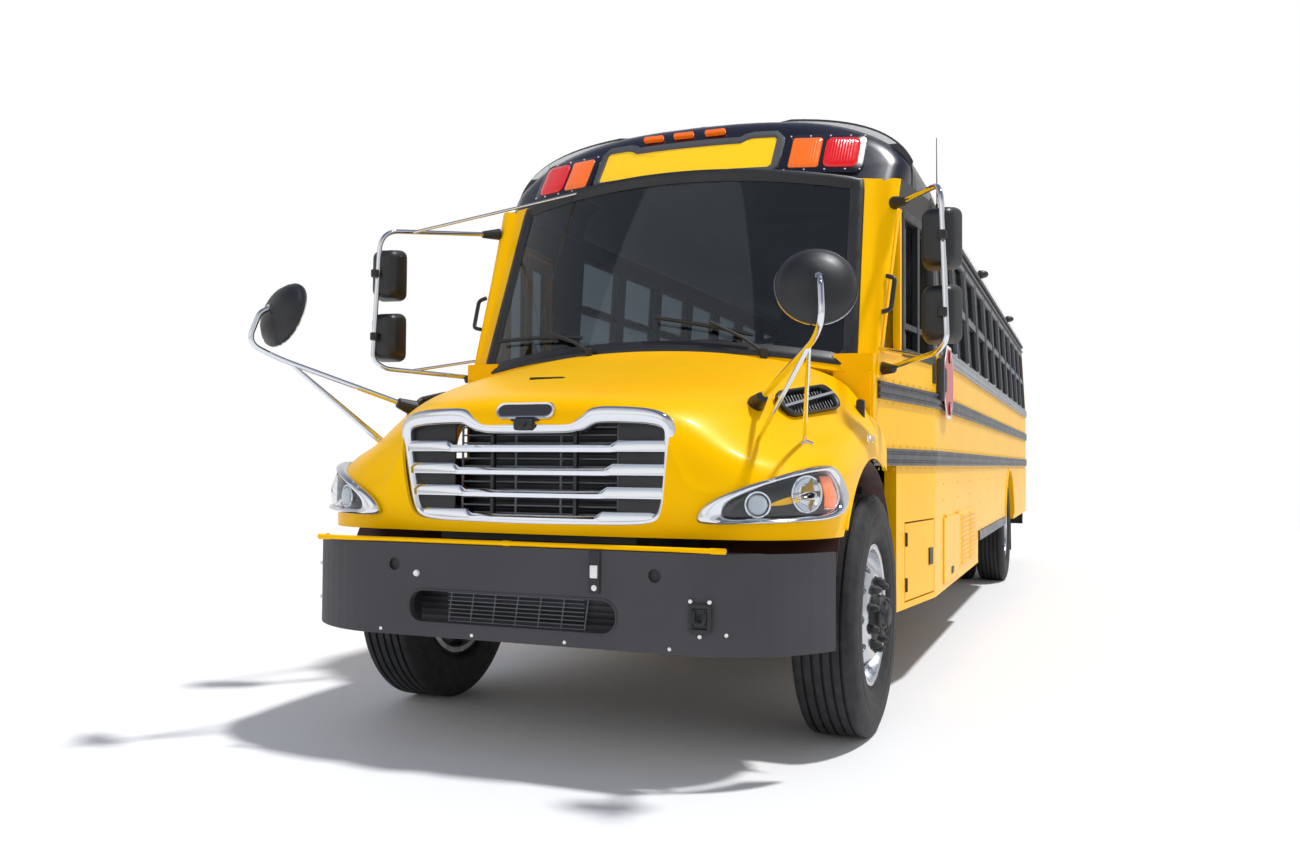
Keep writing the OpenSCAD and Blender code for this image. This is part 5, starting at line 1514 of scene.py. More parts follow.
def makeSideTrim():
    rails, sills = [], []
    for side in (1, -1):
        for z, ahead, group in zip(sideForm["rails"], (0.302, 0.40, 1.60), (rails, rails, sills)):
            group.append(railPiece(side, z, ahead if side > 0 else 1.452, wallEnd + 0.03))
    # drip moulding under the eave, and the black lower rail ahead of the rear wheels
    for side in (1, -1):
        rows = [[sideSpot(side, y, 2.600 + up, o) for o, up in ((0.0, -0.012), (0.014, -0.010), (0.018, 0.0),
            (0.014, 0.010), (0.0, 0.012))]
            for y in (1.46, wallEnd)]
        rails.append(formed("dripMoulding", rows, 30))
        rows = [[sideSpot(side, y, 0.640 + up, o) for o, up in ((0.0, -0.038), (0.014, -0.034), (0.014, 0.034),
            (0.0, 0.038))] for y in (3.85, 6.42)]
        rails.append(formed("lowerRail", rows, 30))
    foot = block("stopArmBox", at(wallX + 0.002, 1.492, 1.532), at(wallX + 0.043, 1.540, 1.768), 0.006, 2)
    rails.append(smooth(foot))
    dress(join("rubRails", rails), "bus_body", railPaint, ["side_trim"])
    dress(join("sillRails", sills), "bus_body", sillMetal)
    spots = []
    for side in (1, -1):
        start = 0.42 if side > 0 else 1.50
        for z in (1.150, 1.264, 1.469, 1.583, 1.752):
            if z > 1.7 and side > 0:
                start = 1.60
            count = int((wallEnd - start) / 0.12)
            for k in range(count):
                y = start + 0.12 * k
                spots.append((sideSpot(side, y, z, 0.0003), Vector((side, 0, 0))))
        for y in [1.79 + 0.72 * k for k in range(12)]:
            for z in [0.70 + 0.09 * k for k in range(5)]:
                if abs(y - (rearAxle - frontAxle)) > 0.66:
                    spots.append((sideSpot(side, y, z, 0.0003), Vector((side, 0, 0))))
    dress(rivets("sideRivets", spots), "bus_body", yellowEnamel)
    print("side rails made")


# a moulded ring round an opening: rings are (grow, out), place puts (u, z, out) on the body
def ringFrame(name, outline, rings, placeFn, close=True, lid=False):
    centre = Vector((sum(u for u, z in outline) / len(outline), sum(z for u, z in outline) / len(outline)))
    rows = []
    for grow, out in rings:
        row = []
        for i, (u, z) in enumerate(outline):
            before, after = outline[i - 1], outline[(i + 1) % len(outline)]
            way = Vector((after[0] - before[0], after[1] - before[1])).normalized()
            outward = Vector((way.y, -way.x))
            if outward.dot(Vector((u, z)) - centre) < 0:
                outward = -outward
            row.append(placeFn(u + outward.x * grow, z + outward.y * grow, out))
        rows.append(row)
    return smooth(skin(name, rows, closeRows=True, closeEnds=close, capEnds=lid), 40)


frameRings = [(0.016, -0.001), (0.016, 0.008), (0.010, 0.011), (-0.012, 0.010), (-0.016, 0.004), (-0.018, -0.026),
    (0.0, -0.028)]


def makeWindows():
    frames = []
    for side in (1, -1):
        for k in range(sideForm["windows"]):
            y0 = sideForm["windowFirst"] + sideForm["windowPitch"] * k
            outline = [(y0 + u, 2.195 + v) for u, v in roundedBox(0.63, 0.69, 0.042, 4)]
            frames.append(ringFrame("windowFrame", outline, frameRings, lambda u, z,
                out: sideSpot(side, u, z, out)))
            for z, tall in ((2.192, 0.016), (2.218, 0.010)):
                rows = [[sideSpot(side, y, z + a, o) for o, a in ((-0.028, -tall), (0.002, -tall), (0.004, 0.0),
                    (0.002, tall), (-0.028, tall))]
                    for y in (y0 - 0.30, y0 + 0.30)]
                frames.append(skin("sashBar", rows, closeRows=True, capEnds=True))
            for u in (-0.10, 0.10):
                rows = [[sideSpot(side, y0 + u + a, 2.225, o) for a,
                    o in ((-0.02, -0.01), (-0.02, 0.008), (0.02, 0.008),
                    (0.02, -0.01))],
                    [sideSpot(side, y0 + u + a, 2.240, o) for a, o in ((-0.018, -0.01), (-0.018, 0.004),
                    (0.018, 0.004), (0.018, -0.01))]]
                frames.append(skin("sashLatch", rows, closeRows=True, capEnds=True))
    dress(smooth(join("windowFrames", frames), 40), "bus_body", windowFrame)
    # driver's sliding window with its posts, and the quarter windows
    cab, painted = [], []
    for side in (1, -1):
        quarter = ([(0.070, 1.715), (0.34, 2.40), (0.375, 2.44), (0.375, 1.73)] if side > 0 else
            [(0.070, 1.715), (0.30, 2.30), (0.33, 2.33), (0.33, 1.73)])
        painted.append(ringFrame("quarterFrame", densify(quarter, 0.06), frameRings,
            lambda u, z, out: onCab(side, u, z, out)))
    driver = [(0.72 + u, 2.0925 + v) for u, v in roundedBox(0.58, 0.695, 0.03, 4)]
    wide = [(0.026, -0.001), (0.026, 0.008), (0.018, 0.012), (-0.012, 0.011), (-0.018, 0.004), (-0.020, -0.028),
        (0.0, -0.03)]
    cab.append(ringFrame("driverFrame", driver, wide, lambda u, z, out: onCab(1, u, z, out)))
    for u0, u1, z0, z1, out in ((0.705, 0.745, 1.755, 2.43, 0.004), (0.44, 1.0, 1.862, 1.892, 0.002),
            (1.018, 1.072, 1.62, 2.46, 0.006)):
        rows = [[onCab(1, u, z, o) for u, o in ((u0, -0.026), (u0, out), (u1, out), (u1, -0.026))] for z in (z0,
            z1)]
        cab.append(formed("driverPost", rows, 30))
    dress(join("cabWindowFrames", cab), "bus_body", blackVinyl)
    dress(join("quarterFrames", painted), "bus_body", yellowEnamel)
    # rear windows of the body, either side of the emergency door
    back = []
    for side in (1, -1):
        outline = [(side * 0.815 + u, 2.15 + v) for u, v in roundedBox(0.40, 0.56, 0.06, 5)]
        back.append(ringFrame("rearFrame", outline, frameRings,
            lambda u, z, out: Vector((u, rearY - 0.030 + out, z))))
    dress(join("rearWindowFrames", back), "bus_body", blackVinyl)
    print("windows made")


# ---- compartment doors, louvres, stop arm and crossing arm ----

def lidPanel(name, y0, y1, z0, z1, out=0.008, side=1):
    outline = [((y0 + y1) / 2 + u, (z0 + z1) / 2 + v) for u, v in roundedBox(y1 - y0, z1 - z0, 0.012, 3)]
    return ringFrame(name, outline, [(0.0, 0.0), (0.0, out - 0.002), (-0.003, out), (-0.008, out)],
        lambda u, z, o: sideSpot(side, u, z, o), close=False, lid=True)


def makeCompartments():
    lids, hinges, latches = [], [], []
    for y0, y1, side in ((1.79, 2.56, 1), (1.60, 2.60, -1), (2.80, 3.70, -1)):
        lids.append(lidPanel("compartmentLid", y0, y1, 0.475, 0.865, 0.008, side))
        for y in (y0 + 0.10, y1 - 0.10):
            hinges.append(rod("lidHinge", sideSpot(side, y - 0.04, 0.868, 0.008),
                sideSpot(side, y + 0.04, 0.868, 0.008),
                0.007, 12, bevel=0.0015))
        spot = sideSpot(side, (y0 + y1) / 2, 0.53, 0.006)
        latches.append(smooth(block("lidLatch", spot + Vector((-0.006, -0.055, -0.022)),
            spot + Vector((0.006, 0.055, 0.022)), 0.004, 2)))
    # louvre panel ahead of the fuel side
    for k in range(11):
        z = 0.525 + 0.031 * k
        for y0, y1 in ((2.68, 3.10), (3.16, 3.58)):
            rows = [[sideSpot(1, y, z + up, o) for o, up in ((0.0, -0.003), (0.012, -0.001), (0.014, 0.002),
                (0.0, 0.020))] for y in (y0, y0 + 0.012, y1 - 0.012, y1)]
            for row in (rows[0], rows[-1]):
                for i, point in enumerate(row):
                    row[i] = Vector((wallX + (point.x - wallX) * 0.15, point.y, point.z))
            lids.append(formed("louvre", rows, 40))
    lids.append(lidPanel("louvrePanel", 2.62, 3.64, 0.49, 0.88, 0.003, 1))
    # a slim flange round each rear wheel arch
    for side in (1, -1):
        rows = []
        for k in range(41):
            angle = radians(-2 + 184 * k / 40)
            y = rearAxle - frontAxle - 0.60 * cos(angle)
            z = wheelZ + 0.60 * sin(angle)
            ring = []
            for t in [2 * pi * j / 8 for j in range(8)]:
                grow = 0.612 + 0.011 * cos(t)
                ring.append(at(side * (wallX + 0.004 + 0.009 * sin(t)), rearAxle - frontAxle - grow * cos(angle),
                    wheelZ + grow * sin(angle)))
            if ring[0].z > 0.60:
                rows.append(ring)
        lids.append(formed("rearArchFlange", rows, 60))
    dress(join("compartmentLids", lids), "bus_body", yellowEnamel)
    dress(join("lidHinges", hinges), "bus_body", yellowEnamel)
    dress(join("lidLatches", latches), "bus_body", blackVinyl)
    # the battery door's pull latch and its two hinges ride with the door
    fittings = []
    for z in (0.56, 0.79):
        fittings.append(rod("doorHinge", onCab(1, cabU(0.872), z - 0.035, 0.003),
            onCab(1, cabU(0.872), z + 0.035, 0.003),
            0.008, 12, bevel=0.002))
    rows = [[onCab(1, u, z, o) for u, o in ((cabU(1.31), -0.002), (cabU(1.31), 0.007), (cabU(1.38), 0.007),
        (cabU(1.38), -0.002))] for z in (0.63, 0.72)]
    fittings.append(formed("doorLatch", rows, 30))
    dress(join("batteryDoorFittings", fittings), "battery_door", blackVinyl)
    # rubber flaps behind the rear wheels
    flaps = []
    for side in (1, -1):
        rows = [[at(side * x, 7.86 + 0.012 * sin(x * 18) + t, z) for x in [0.62 + 0.07 * i for i in range(9)]]
            for t, z in ((0.0, 0.93), (0.004, 0.70), (0.02, 0.45), (0.05, 0.25))]
        flap = skin("mudFlap", rows)
        modify(flap, "SOLIDIFY", thickness=0.008)
        flaps.append(smooth(flap, 60))
    dress(join("mudFlaps", flaps), "bus_body", tyreRubber)
    print("compartments made")


stopForm = {"y": 1.80, "z": 1.65, "radius": 0.229, "x": 0.030}


def makeArms():
    turn = (Matrix.Translation(at(wallX + stopForm["x"], stopForm["y"], stopForm["z"]))
        @ Matrix.Rotation(radians(90), 4, "Z") @ Matrix.Rotation(radians(90), 4, "X"))

    def octagon(radius):
        return [(radius * cos(radians(22.5 + 45 * k)), radius * sin(radians(22.5 + 45 * k)))
            for k in range(8)]
    back = plate("stopPlate", octagon(stopForm["radius"]), 0.004, turn, 0.0015)
    dress(back, "stop_arm", whiteSheeting, ["stop_arm"])
    red = [plate("stopFace", octagon(stopForm["radius"] - 0.020), 0.0012, turn @ Matrix.Translation((0, 0, 0.004))),
        plate("stopFace", octagon(stopForm["radius"] - 0.020), 0.0012, turn @ Matrix.Translation((0, 0, -0.0012)))]
    dress(join("stopFaces", red), "stop_arm", redSheeting)
    arm = [smooth(block("stopBracket", at(wallX + 0.0305, 1.562, 1.585), at(wallX + 0.0425, 1.64, 1.715), 0.003,
        2))]
    for z in (1.60, 1.70):
        arm.append(rod("stopPin", at(wallX + 0.037, 1.562, z - 0.02), at(wallX + 0.037, 1.562, z + 0.02), 0.006,
            14))
    for z in (1.50, 1.80):
        arm.append(rod("stopLampRim", at(wallX + 0.034, 1.80, z), at(wallX + 0.0425, 1.80, z), 0.038, 28,
            bevel=0.003))
    dress(join("stopArmFittings", arm), "stop_arm", blackVinyl)
    lamps = []
    for z in (1.50, 1.80):
        lamps.append(rod("stopLamp", at(wallX + 0.040, 1.80, z), at(wallX + 0.044, 1.80, z), 0.030, 28, tip=0.022))
    dress(smooth(join("stopLamps", lamps), 50), "stop_arm", redLens)
    # crossing arm: a slim yellow tube folded flat along the bumper's top
    lo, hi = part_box("crossing_arm")
    reach = [Vector((lo[0] + 0.030, hi[1] - 0.010, lo[2] + 0.0115)),
        Vector((hi[0] - 0.012, hi[1] - 0.010, lo[2] + 0.0115))]
    tube = bar("crossingTube", [reach[0], (reach[0] + reach[1]) / 2, reach[1]], 0.0095, 0.02, sides=12)
    tip = rod("crossingTip", reach[1] - Vector((0.05, 0, 0)), reach[1] + Vector((0.011, 0, 0)), 0.0112, 16,
        bevel=0.004)
    mid = rod("crossingJoint", (reach[0] + reach[1]) / 2 - Vector((0.02, 0, 0)),
        (reach[0] + reach[1]) / 2 + Vector((0.02, 0, 0)), 0.0112, 16, bevel=0.003)
    root = rod("crossingRoot", reach[0] - Vector((0.010, 0, 0)), reach[0] + Vector((0.05, 0, 0)), 0.0112, 16,
        bevel=0.003)
    dress(join("crossingArm", [tube, tip, mid, root]), "crossing_arm", yellowEnamel,
        ["crossing_arm"])
    print("arms made")


# ---- front bumper details ----

def makeBumperTrim():
    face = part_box("front_bumper")[0][1] - frontAxle
    dark, bright = [], []
    # bracket with its white marker block, the tow pocket and its rivets
    dark.append(smooth(block("markerBracket", at(0.298, face - 0.008, 0.685), at(0.345, face + 0.002, 0.843),
        0.004)))
    bright.append(smooth(block("markerBlock", at(0.306, face - 0.013, 0.742), at(0.337, face - 0.007, 0.790),
        0.003)))
    for x, z in ((-0.455, 0.728), (0.322, 0.706)):
        bright.append(rod("bumperBolt", at(x, face + 0.002, z), at(x, face - 0.010, z), 0.015, 20, tip=0.011,
            bevel=0.003))
    for x, z in ((-0.62, 0.50), (-0.20, 0.497), (0.20, 0.497), (0.62, 0.50), (0.83, 0.56), (-0.98, 0.6),
            (-0.98, 0.74)):
        y = face if abs(x) < 0.8 else face + (abs(x) - 0.72) ** 2 * 1.2
        bright.append(rod("bumperScrew", at(x, y + 0.002, z), at(x, y - 0.004, z), 0.007, 12, bevel=0.0015))
    pocket = [(0.735 + u, 0.615 + v) for u, v in roundedBox(0.085, 0.105, 0.012, 4)]
    dark.append(ringFrame("hookPlate", pocket, [(0.0, -0.002), (0.0, 0.006), (-0.006, 0.009), (-0.014, 0.009),
        (-0.020, 0.002), (-0.038, 0.001)],
        lambda u, z, o: at(u, face - o + max(0.0, abs(u) - 0.72) * 0.06, z), close=False))
    dark.append(bar("hookShank", [at(0.715, face - 0.006, 0.64), at(0.715, face - 0.020, 0.60),
        at(0.755, face - 0.020, 0.595),
        at(0.755, face - 0.006, 0.635)], 0.007, 0.02, 4, 10))
    for x, z in ((0.700, 0.676), (0.772, 0.676), (0.736, 0.552)):
        bright.append(rod("pocketRivet", at(x, face + 0.002, z), at(x, face - 0.008, z), 0.0075, 12, bevel=0.002))
    # plugs that close the tow holes from behind
    for x in (-0.56, 0.56):
        dark.append(rod("towPlug", at(x, face + 0.012, 0.76), at(x, face + 0.02, 0.76), 0.03, 24, bevel=0.003))
    dress(join("bumperFittings", dark), "bus_body", cabinPlastic)
    dress(join("bumperBolts", bright), "bus_body", whiteSheeting)
    # a rolled lip round the slot
    slot = [(-0.04 + u, 0.60 + v) for u, v in roundedBox(0.90, 0.13, 0.06, 8)]
    lips = [ringFrame("slotLip", slot, [(0.004, -0.001), (0.003, 0.003), (-0.002, 0.004), (-0.005, 0.001),
        (-0.005, -0.028),
        (-0.002, -0.03)], lambda u, z, o: at(u, face - o, z), close=False)]
    dress(join("slotLips", lips), "bus_body", powderCoat)
    # fan guard and cooler behind the slot
    wires = []
    for k in range(9):
        z = 0.535 + 0.016 * k
        wires.append(rod("slotWire", at(-0.36, face + 0.085, z), at(0.24, face + 0.085, z), 0.002, 6))
    for k in range(7):
        x = -0.36 + 0.10 * k
        wires.append(rod("slotWire", at(x, face + 0.087, 0.53), at(x + 0.02, face + 0.087, 0.68), 0.0025, 6))
    back = block("slotCooler", at(-0.50, face + 0.105, 0.50), at(0.46, face + 0.125, 0.72), 0.006)
    dress(join("slotGuard", wires), "bus_body", bpy.data.materials["guardWire"])
    dress(smooth(back), "bus_body", coolerFinsWithPaintedGapShade)
    # dark closing plate between the bumper's top and the hood
    shelf = block("bumperShelf", at(-0.94, face + 0.10, 0.80), at(0.94, face + 0.125, 0.845), 0.004)
    dress(smooth(shelf), "bus_body", cabinPlastic)
    print("bumper trim made")


makeWheels()
makeSideTrim()
makeWindows()
makeCompartments()
makeArms()
makeBumperTrim()


# ---- benches and driver's seat ----

seatForm = {"first": 2.0, "pitch": 0.70, "rows": 11, "inner": 0.24, "width": 0.90, "floor": 1.08, "cuts": 13}


# a stuffed pad: a closed pillow form, crowned on its upper face, with sewn seams across it
def pad(name, size, crown, seams=(), square=6.0):
    clearSelection()
    bpy.ops.mesh.primitive_cube_add(size=2, location=(0, 0, 0))
    piece = bpy.context.object
    piece.name = name
    bpy.ops.object.mode_set(mode="EDIT")
    bpy.ops.mesh.subdivide(number_cuts=seatForm["cuts"])
    bpy.ops.object.mode_set(mode="OBJECT")
    for vertex in piece.data.vertices:
        u, v, w = vertex.co
        reach = (abs(u) ** square + abs(v) ** square + abs(w) ** square) ** (1 / square)
        u, v, w = u / reach, v / reach, w / reach
        lift = crown * max(0.0, w) * (1 - u ** 4) * (1 - v ** 2) * 0.8
        sink = sum(0.006 * exp(-((u - seam) * size[0] / 0.03) ** 2) for seam in seams) * max(0.0, w)
        pull = 1 - 0.012 * (1 - abs(u) ** 2) * abs(v) ** 4
        vertex.co = Vector((u * size[0] / 2, v * size[1] / 2 * pull,
            w * size[2] / 2 * (1 - crown) + (lift - sink) * 1.0))
    modify(piece, "SUBSURF", levels=1, render_levels=1)
    return smooth(piece, 80)


def makeSeats():
    frames = []
    for side in (1, -1):
        for row in range(seatForm["rows"]):
            y0 = seatForm["first"] + seatForm["pitch"] * row
            middleX = side * (seatForm["inner"] + seatForm["width"] / 2)
            seat = pad("benchSeat", (seatForm["width"] - 0.012, 0.42, 0.105), 0.03)
            seat.data.transform(Matrix.Translation(at(middleX, y0 + 0.214, seatForm["floor"] + 0.394)))
            back = pad("benchBack", (seatForm["width"] - 0.022, 0.60, 0.084), 0.03, (-0.34, 0.34))
            back.data.transform(Matrix.Translation(at(middleX, y0 + 0.503, seatForm["floor"] + 0.668))
                @ Matrix.Rotation(radians(82), 4, "X"))
            bench = join("bench{}{:02d}".format("Left" if side > 0 else "Right", row + 1), [back, seat])
            dress(bench, "bus_body", seatVinyl, ["seats"] if row == 0 and side > 0 else ())
            for x in (seatForm["inner"] + 0.14, seatForm["inner"] + seatForm["width"] - 0.14):
                frames.append(bar("benchLeg", [at(side * x, y0 + 0.05, 1.082), at(side * x, y0 + 0.06, 1.405),
                    at(side * x, y0 + 0.39, 1.405), at(side * x, y0 + 0.40, 1.082)],
                    0.014, 0.05, 3, 8))
    dress(join("benchFrames", frames), "bus_body", chassisPaint)
    seat = pad("driverCushion", (0.49, 0.47, 0.115), 0.05, (-0.55, 0.55))
    seat.data.transform(Matrix.Translation(at(0.51, 1.30, 1.517)))
    back = pad("driverBack", (0.47, 0.72, 0.10), 0.05, (-0.55, 0.55))
    back.data.transform(Matrix.Translation(at(0.51, 1.637, 1.868)) @ Matrix.Rotation(radians(80), 4, "X"))
    chair = join("driverSeatPads", [seat, back])
    dress(chair, "bus_body", seatVinyl, ["driver_seat"])
    rows = [[at(0.51 + u, 1.30 + v, z) for u, v in roundedBox(w, w * 1.05, 0.04)] for w, z in
        ((0.32, 1.082), (0.30, 1.11), (0.20, 1.15), (0.19, 1.36), (0.30, 1.42), (0.34, 1.455))]
    pedestal = formed("seatPedestal", rows, 40)
    dress(pedestal, "bus_body", cabinPlastic)
    print("seats made")


# ---- dashboard and steering wheel ----

def makeDashboard():
    rows = []
    for k in range(25):
        x = -0.925 + 1.85 * k / 24
        pod = exp(-((x - 0.51) / 0.26) ** 2)
        section = [(0.424, 1.422), (0.575, 1.426), (0.600 + 0.012 * pod, 1.47), (0.585 + 0.02 * pod, 1.535),
            (0.555 + 0.02 * pod, 1.600), (0.500 + 0.03 * pod, 1.628 + 0.006 * pod), (0.424, 1.634)]
        rows.append([at(x, y, z) for y, z in section])
    dash = formed("dashShell", rows, 40)
    console = smooth(block("dashConsole", at(0.255, 0.424, 1.085), at(0.765, 0.575, 1.424), 0.02, 3))
    column = rod("steeringColumn", at(0.51, 0.545, 1.425), at(0.51, 0.795, 1.635), 0.034, 24, tip=0.028,
        bevel=0.006)
    knobs = []
    for k in range(6):
        knobs.append(rod("dashSwitch", at(-0.05 + 0.05 * k, 0.575, 1.54), at(-0.05 + 0.05 * k, 0.600, 1.536), 0.012,
            14,
            bevel=0.003))
    dress(join("dashboardShell", [dash, console, column] + knobs), "bus_body", cabinPlastic,
        ["dashboard"])
    turn = Matrix.Translation(at(0.51, 0.80, 1.64)) @ Matrix.Rotation(radians(-50), 4, "X")
    rim = []
    for k in range(64):
        angle = 2 * pi * k / 64
        grip = 0.0135 + 0.001 * cos(12 * angle)
        rim.append([turn @ Vector(((0.215 + grip * cos(t)) * cos(angle),
            (0.215 + grip * cos(t)) * sin(angle), grip * sin(t)))
            for t in [2 * pi * j / 12 for j in range(12)]])
    parts = [smooth(skin("wheelRim", rim, closeRows=True, closeEnds=True), 60)]
    for angle in (90, 210, 330):
        a = radians(angle)
        parts.append(bar("wheelSpoke", [turn @ Vector((0.03 * cos(a), 0.03 * sin(a), 0.012)),
            turn @ Vector((0.12 * cos(a), 0.12 * sin(a), 0.012)),
            turn @ Vector((0.207 * cos(a), 0.207 * sin(a), 0.002))],
            0.0095, 0.03, 4, 10))
    parts.append(rod("wheelBoss", turn @ Vector((0, 0, 0.001)), turn @ Vector((0, 0, 0.028)), 0.044, 32, tip=0.034,
        bevel=0.006))
    dress(join("steeringWheelRim", parts), "steering_wheel", cabinPlastic, ["steering_wheel"])
    print("dashboard made")


# ---- entrance door, grab handles and antenna ----

def makeEntrance():
    leafWidth = 0.325
    for body, u0, inner in (("front_door_leaf", 0.388, 1), ("rear_door_leaf", 1.0613 - 0.008 - leafWidth, -1)):
        rings = []
        for z0, z1 in ((0.54, 1.30), (1.39, 2.362)):
            outline = [(u0 + leafWidth / 2 + u, (z0 + z1) / 2 + v) for u,
                v in roundedBox(leafWidth - 0.09, z1 - z0, 0.02, 4)]
            rings.append(ringFrame("leafSeal", outline,
                [(0.014, -0.0015), (0.014, 0.003), (0.008, 0.005), (-0.006, 0.004),
                (-0.010, -0.004), (-0.012, -0.022), (0.0, -0.024)],
                lambda u, z, o: onCab(-1, u, z, o - 0.002)))
        grip = u0 + (leafWidth - 0.022 if inner > 0 else 0.022)
        rings.append(bar("leafHandle", [onCab(-1, grip, 1.20, -0.036), onCab(-1, grip, 1.21, -0.060),
            onCab(-1, grip, 1.62, -0.060), onCab(-1, grip, 1.63, -0.036)], 0.010, 0.02, 4, 10))
        dress(join(body + "Seals", rings), body, blackVinyl)
        lip = [formed("leafEdge", [[onCab(-1, u0 + (leafWidth if inner > 0 else 0.0) + a, z, o) for a, o in
            ((0.0, -0.004), (0.0055 * inner, -0.008), (0.0055 * inner, -0.030),
            (0.0, -0.034))] for z in (0.46, 2.41)], 30)]
        dress(join(body + "Edge", lip), body, tyreRubber)
    handles = []
    for side in (1, -1):
        handles.append(bar("grabHandle", [onCab(side, 0.085, 1.90, 0.002), onCab(side, 0.09, 1.91, 0.045),
            onCab(side, 0.155, 2.07, 0.045), onCab(side, 0.16, 2.085, 0.002)],
            0.011, 0.03, 5, 12))
    foot = onCab(1, cabU(1.42), 2.50, 0.0)
    handles.append(smooth(block("antennaFoot", foot + Vector((-0.012, -0.02, -0.04)),
        foot + Vector((0.022, 0.02, 0.05)),
        0.008, 2)))
    handles.append(rod("antennaSpring", foot + Vector((0.016, 0, 0.04)), foot + Vector((0.018, -0.004, 0.12)),
        0.009, 14,
        tip=0.006, bevel=0.002))
    handles.append(rod("antennaWhip", foot + Vector((0.018, -0.004, 0.11)), foot + Vector((0.020, -0.035, 0.48)),
        0.0035,
        8, tip=0.002))
    dress(join("grabHandles", handles), "bus_body", mirrorPlastic)
    corners = []
    for side in (1, -1):
        rows = [[at(side * x, y, z) for x, y in ((0.90, 0.302), (1.055, 0.304), (1.088, 0.312), (1.094, 0.33),
            (1.088, 0.39), (0.90, 0.39))] for z in (1.19, 1.30, 1.60, 1.69)]
        corners.append(formed("cowlCorner", rows, 30))
    dress(join("cowlCorners", corners), "bus_body", yellowEnamel)
    print("entrance made")


# ---- rear lamps, door trim, roof bows and hatches ----

def makeRear():
    wall = rearY - 0.030
    red, amber, dark = [], [], []
    for side in (1, -1):
        for x, z, radius, group in ((0.80, 2.78, 0.074, red), (0.60, 2.78, 0.074, amber), (1.02, 1.38, 0.080, red),
                (1.02, 1.18, 0.080, amber), (1.02, 0.99, 0.052, red)):
            x = side * x
            dark.append(rod("lampRim", Vector((x, wall - 0.002, z)), Vector((x, wall + 0.012, z)), radius + 0.016,
                40,
                bevel=0.005))
            rows = [[Vector((x + r * cos(t), wall + d, z + r * sin(t))) for t in
                [2 * pi * j / 40 for j in range(40)]] for r, d in
                ((radius, 0.008), (radius, 0.016), (radius * 0.9, 0.021), (radius * 0.6, 0.025), (0.004, 0.0265))]
            group.append(formed("rearLens", rows, 60))
        rows = [[Vector((side * (0.70 + u), wall + d, 2.78 + v)) for u, v in roundedBox(0.46 + g, 0.23 + g, 0.06)]
            for g, d in ((0.0, -0.001), (0.0, 0.003), (-0.008, 0.005))]
        dark.append(formed("lampBacking", rows, 40))
    dress(join("rearRedLamps", red), "bus_body", redLens)
    dress(join("rearAmberLamps", amber), "bus_body", amberLens)
    seal = [(u, 1.72 + v) for u, v in roundedBox(0.92, 1.52, 0.03, 4)]
    dark.append(ringFrame("doorSeal", densify(seal, 0.2),
        [(0.030, -0.001), (0.030, 0.006), (0.022, 0.010), (0.004, 0.008),
        (0.0005, 0.002), (0.0005, -0.02), (0.004, -0.022)],
        lambda u, z, o: Vector((u, wall + o, z))))
    for x in (-0.62, -0.2, 0.2, 0.62):
        dark.append(smooth(block("rearStep", Vector((x - 0.015, rearY - 0.028, 0.455)),
            Vector((x + 0.015, rearY - 0.014, 0.685)), 0.003)))
    dress(join("rearTrim", dark), "bus_body", blackVinyl)
    trim = []
    doorFace = rearY - 0.034
    for z, tall in ((1.44, 0.42), (2.15, 0.52)):
        outline = [(u, z + v) for u, v in roundedBox(0.72, tall, 0.06, 5)]
        trim.append(ringFrame("doorPane", outline, [(0.016, -0.001), (0.016, 0.006), (0.010, 0.009),
            (-0.010, 0.008),
            (-0.014, 0.0), (-0.014, -0.016), (0.0, -0.018)],
            lambda u, z2, o: Vector((u, doorFace + o, z2))))
    trim.append(bar("doorHandle", [Vector((-0.33, doorFace, 1.77)), Vector((-0.33, doorFace + 0.022, 1.775)),
        Vector((-0.20, doorFace + 0.022, 1.79)), Vector((-0.185, doorFace, 1.79))],
        0.010, 0.02, 5, 12))
    for z in (1.08, 1.72, 2.38):
        trim.append(rod("doorHinge", Vector((0.444, doorFace + 0.006, z - 0.06)),
            Vector((0.444, doorFace + 0.006, z + 0.06)),
            0.007, 14, bevel=0.002))
    dress(join("emergencyDoorTrim", trim), "emergency_door", blackVinyl)
    print("rear made")


def roofArch(turn, out=0.0):
    c, s = cos(turn), sin(turn)
    x = 1.175 * copysign(abs(c) ** 0.62, c)
    z = 2.62 + 0.43 * s ** 0.8
    way = Vector((x / 1.175 ** 2, (z - 2.62) / 0.43 ** 2 + 0.001)).normalized()
    return x + way.x * out, z + way.y * out


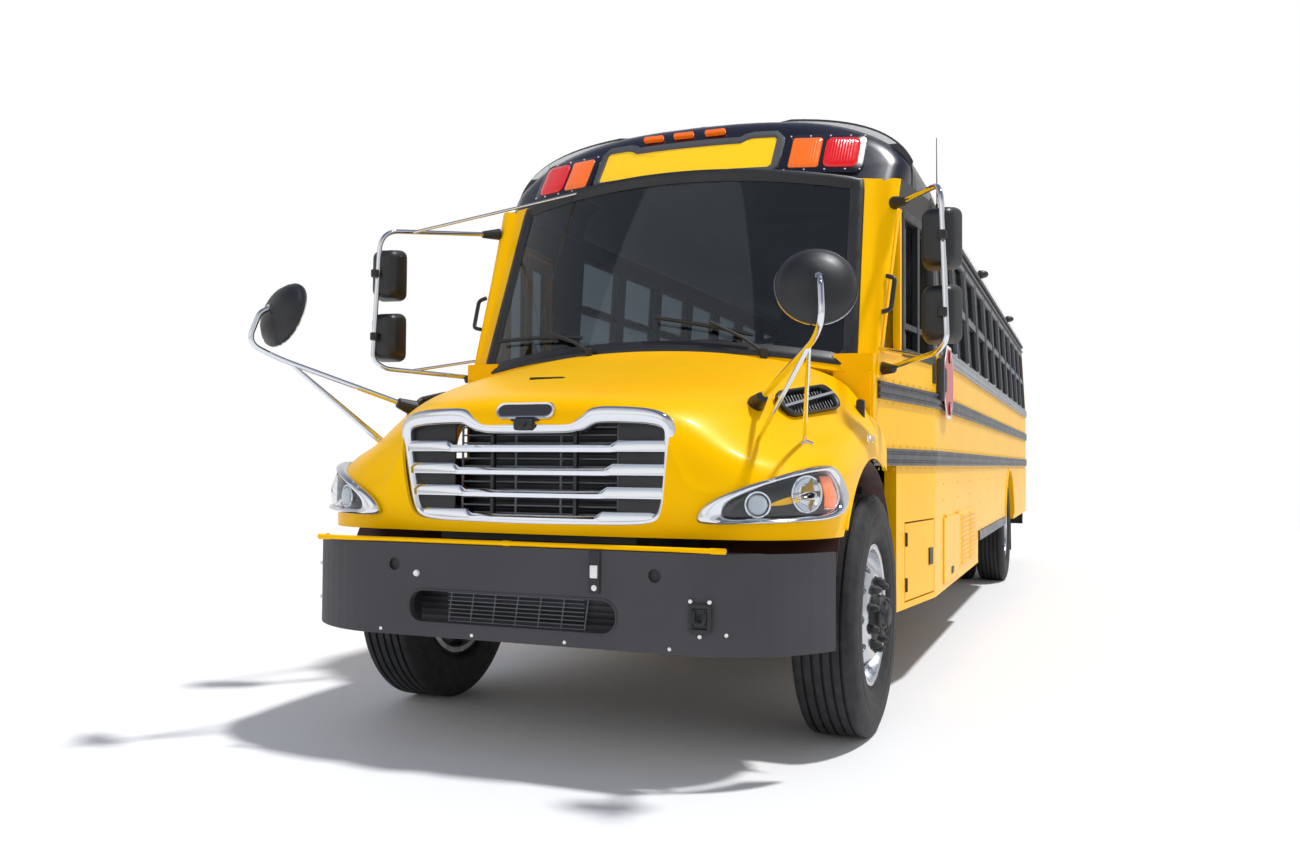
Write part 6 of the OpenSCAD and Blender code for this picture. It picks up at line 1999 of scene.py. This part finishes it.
def makeRoof():
    bows, spots = [], []
    turns = [pi * (0.02 + 0.96 * k / 44) for k in range(45)]
    for row in range(12):
        y = 1.85 + 0.72 * row
        if abs(y - 3.3) < 0.36 or abs(y - 7.6) < 0.36:
            continue
        rows = []
        for turn in turns:
            rows.append([at(*((roofArch(turn, o)[0], y + a, roofArch(turn, o)[1]))) for a, o in
                ((-0.030, 0.0004), (-0.026, 0.0035), (0.026, 0.0035), (0.030, 0.0004))])
        bows.append(smooth(skin("roofBow", rows), 40))
        for turn in turns[1:-1:2]:
            x, z = roofArch(turn, 0.0036)
            for a in (-0.016, 0.016):
                spots.append((at(x, y + a, z), Vector((x / 1.175 ** 2, 0, (z - 2.62) / 0.43 ** 2)).normalized()))
    dress(join("roofBows", bows), "bus_body", roofEnamel)
    dress(rivets("roofRivets", spots, 0.006, 0.003), "bus_body", roofEnamel)
    gutters = []
    for side in (1, -1):
        rows = [[at(side * (1.172 + o), y, 2.655 + up) for o, up in ((0.0, -0.014), (0.020, -0.012), (0.024, 0.010),
            (0.020, 0.010), (0.016, -0.006), (0.0, -0.006))]
            for y in (1.46, wallEnd)]
        gutters.append(formed("gutter", rows, 30))
        for y in (4.45, 7.40):
            rows = [[at(side * (1.168 + d), y + 0.055 * s * cos(t), 2.715 + 0.032 * s * sin(t))
                for t in [2 * pi * j / 28 for j in range(28)]]
                for s, d in ((1.0, 0.0), (1.05, 0.012), (1.0, 0.035), (0.8, 0.060), (0.45, 0.074), (0.05, 0.078))]
            gutters.append(formed("markerLamp", rows, 60))
    dress(join("roofGutters", gutters), "bus_body", blackVinyl)
    for name in ("front_hatch", "rear_hatch"):
        lo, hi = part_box(name)
        cx, cy = (lo[0] + hi[0]) / 2, (lo[1] + hi[1]) / 2
        wide, deep = hi[0] - lo[0], hi[1] - lo[1]
        rows = [[Vector((cx + u, cy + v, lo[2] + z)) for u, v in roundedBox(wide * s, deep * s, 0.05 * s, 5)] for s,
            z in
            ((0.90, 0.002), (0.985, 0.001), (1.0, 0.006), (1.0, 0.020), (0.985, 0.031), (0.94, 0.037),
            (0.80, 0.041),
            (0.78, 0.036), (0.74, 0.036), (0.72, 0.043), (0.45, 0.047), (0.1, 0.048))]
        lid = formed(name + "Lid", rows, 40)
        dress(lid, name, hatchPlastic, [name])
    print("roof made")


makeSeats()
makeDashboard()
makeEntrance()
makeRear()
makeRoof()
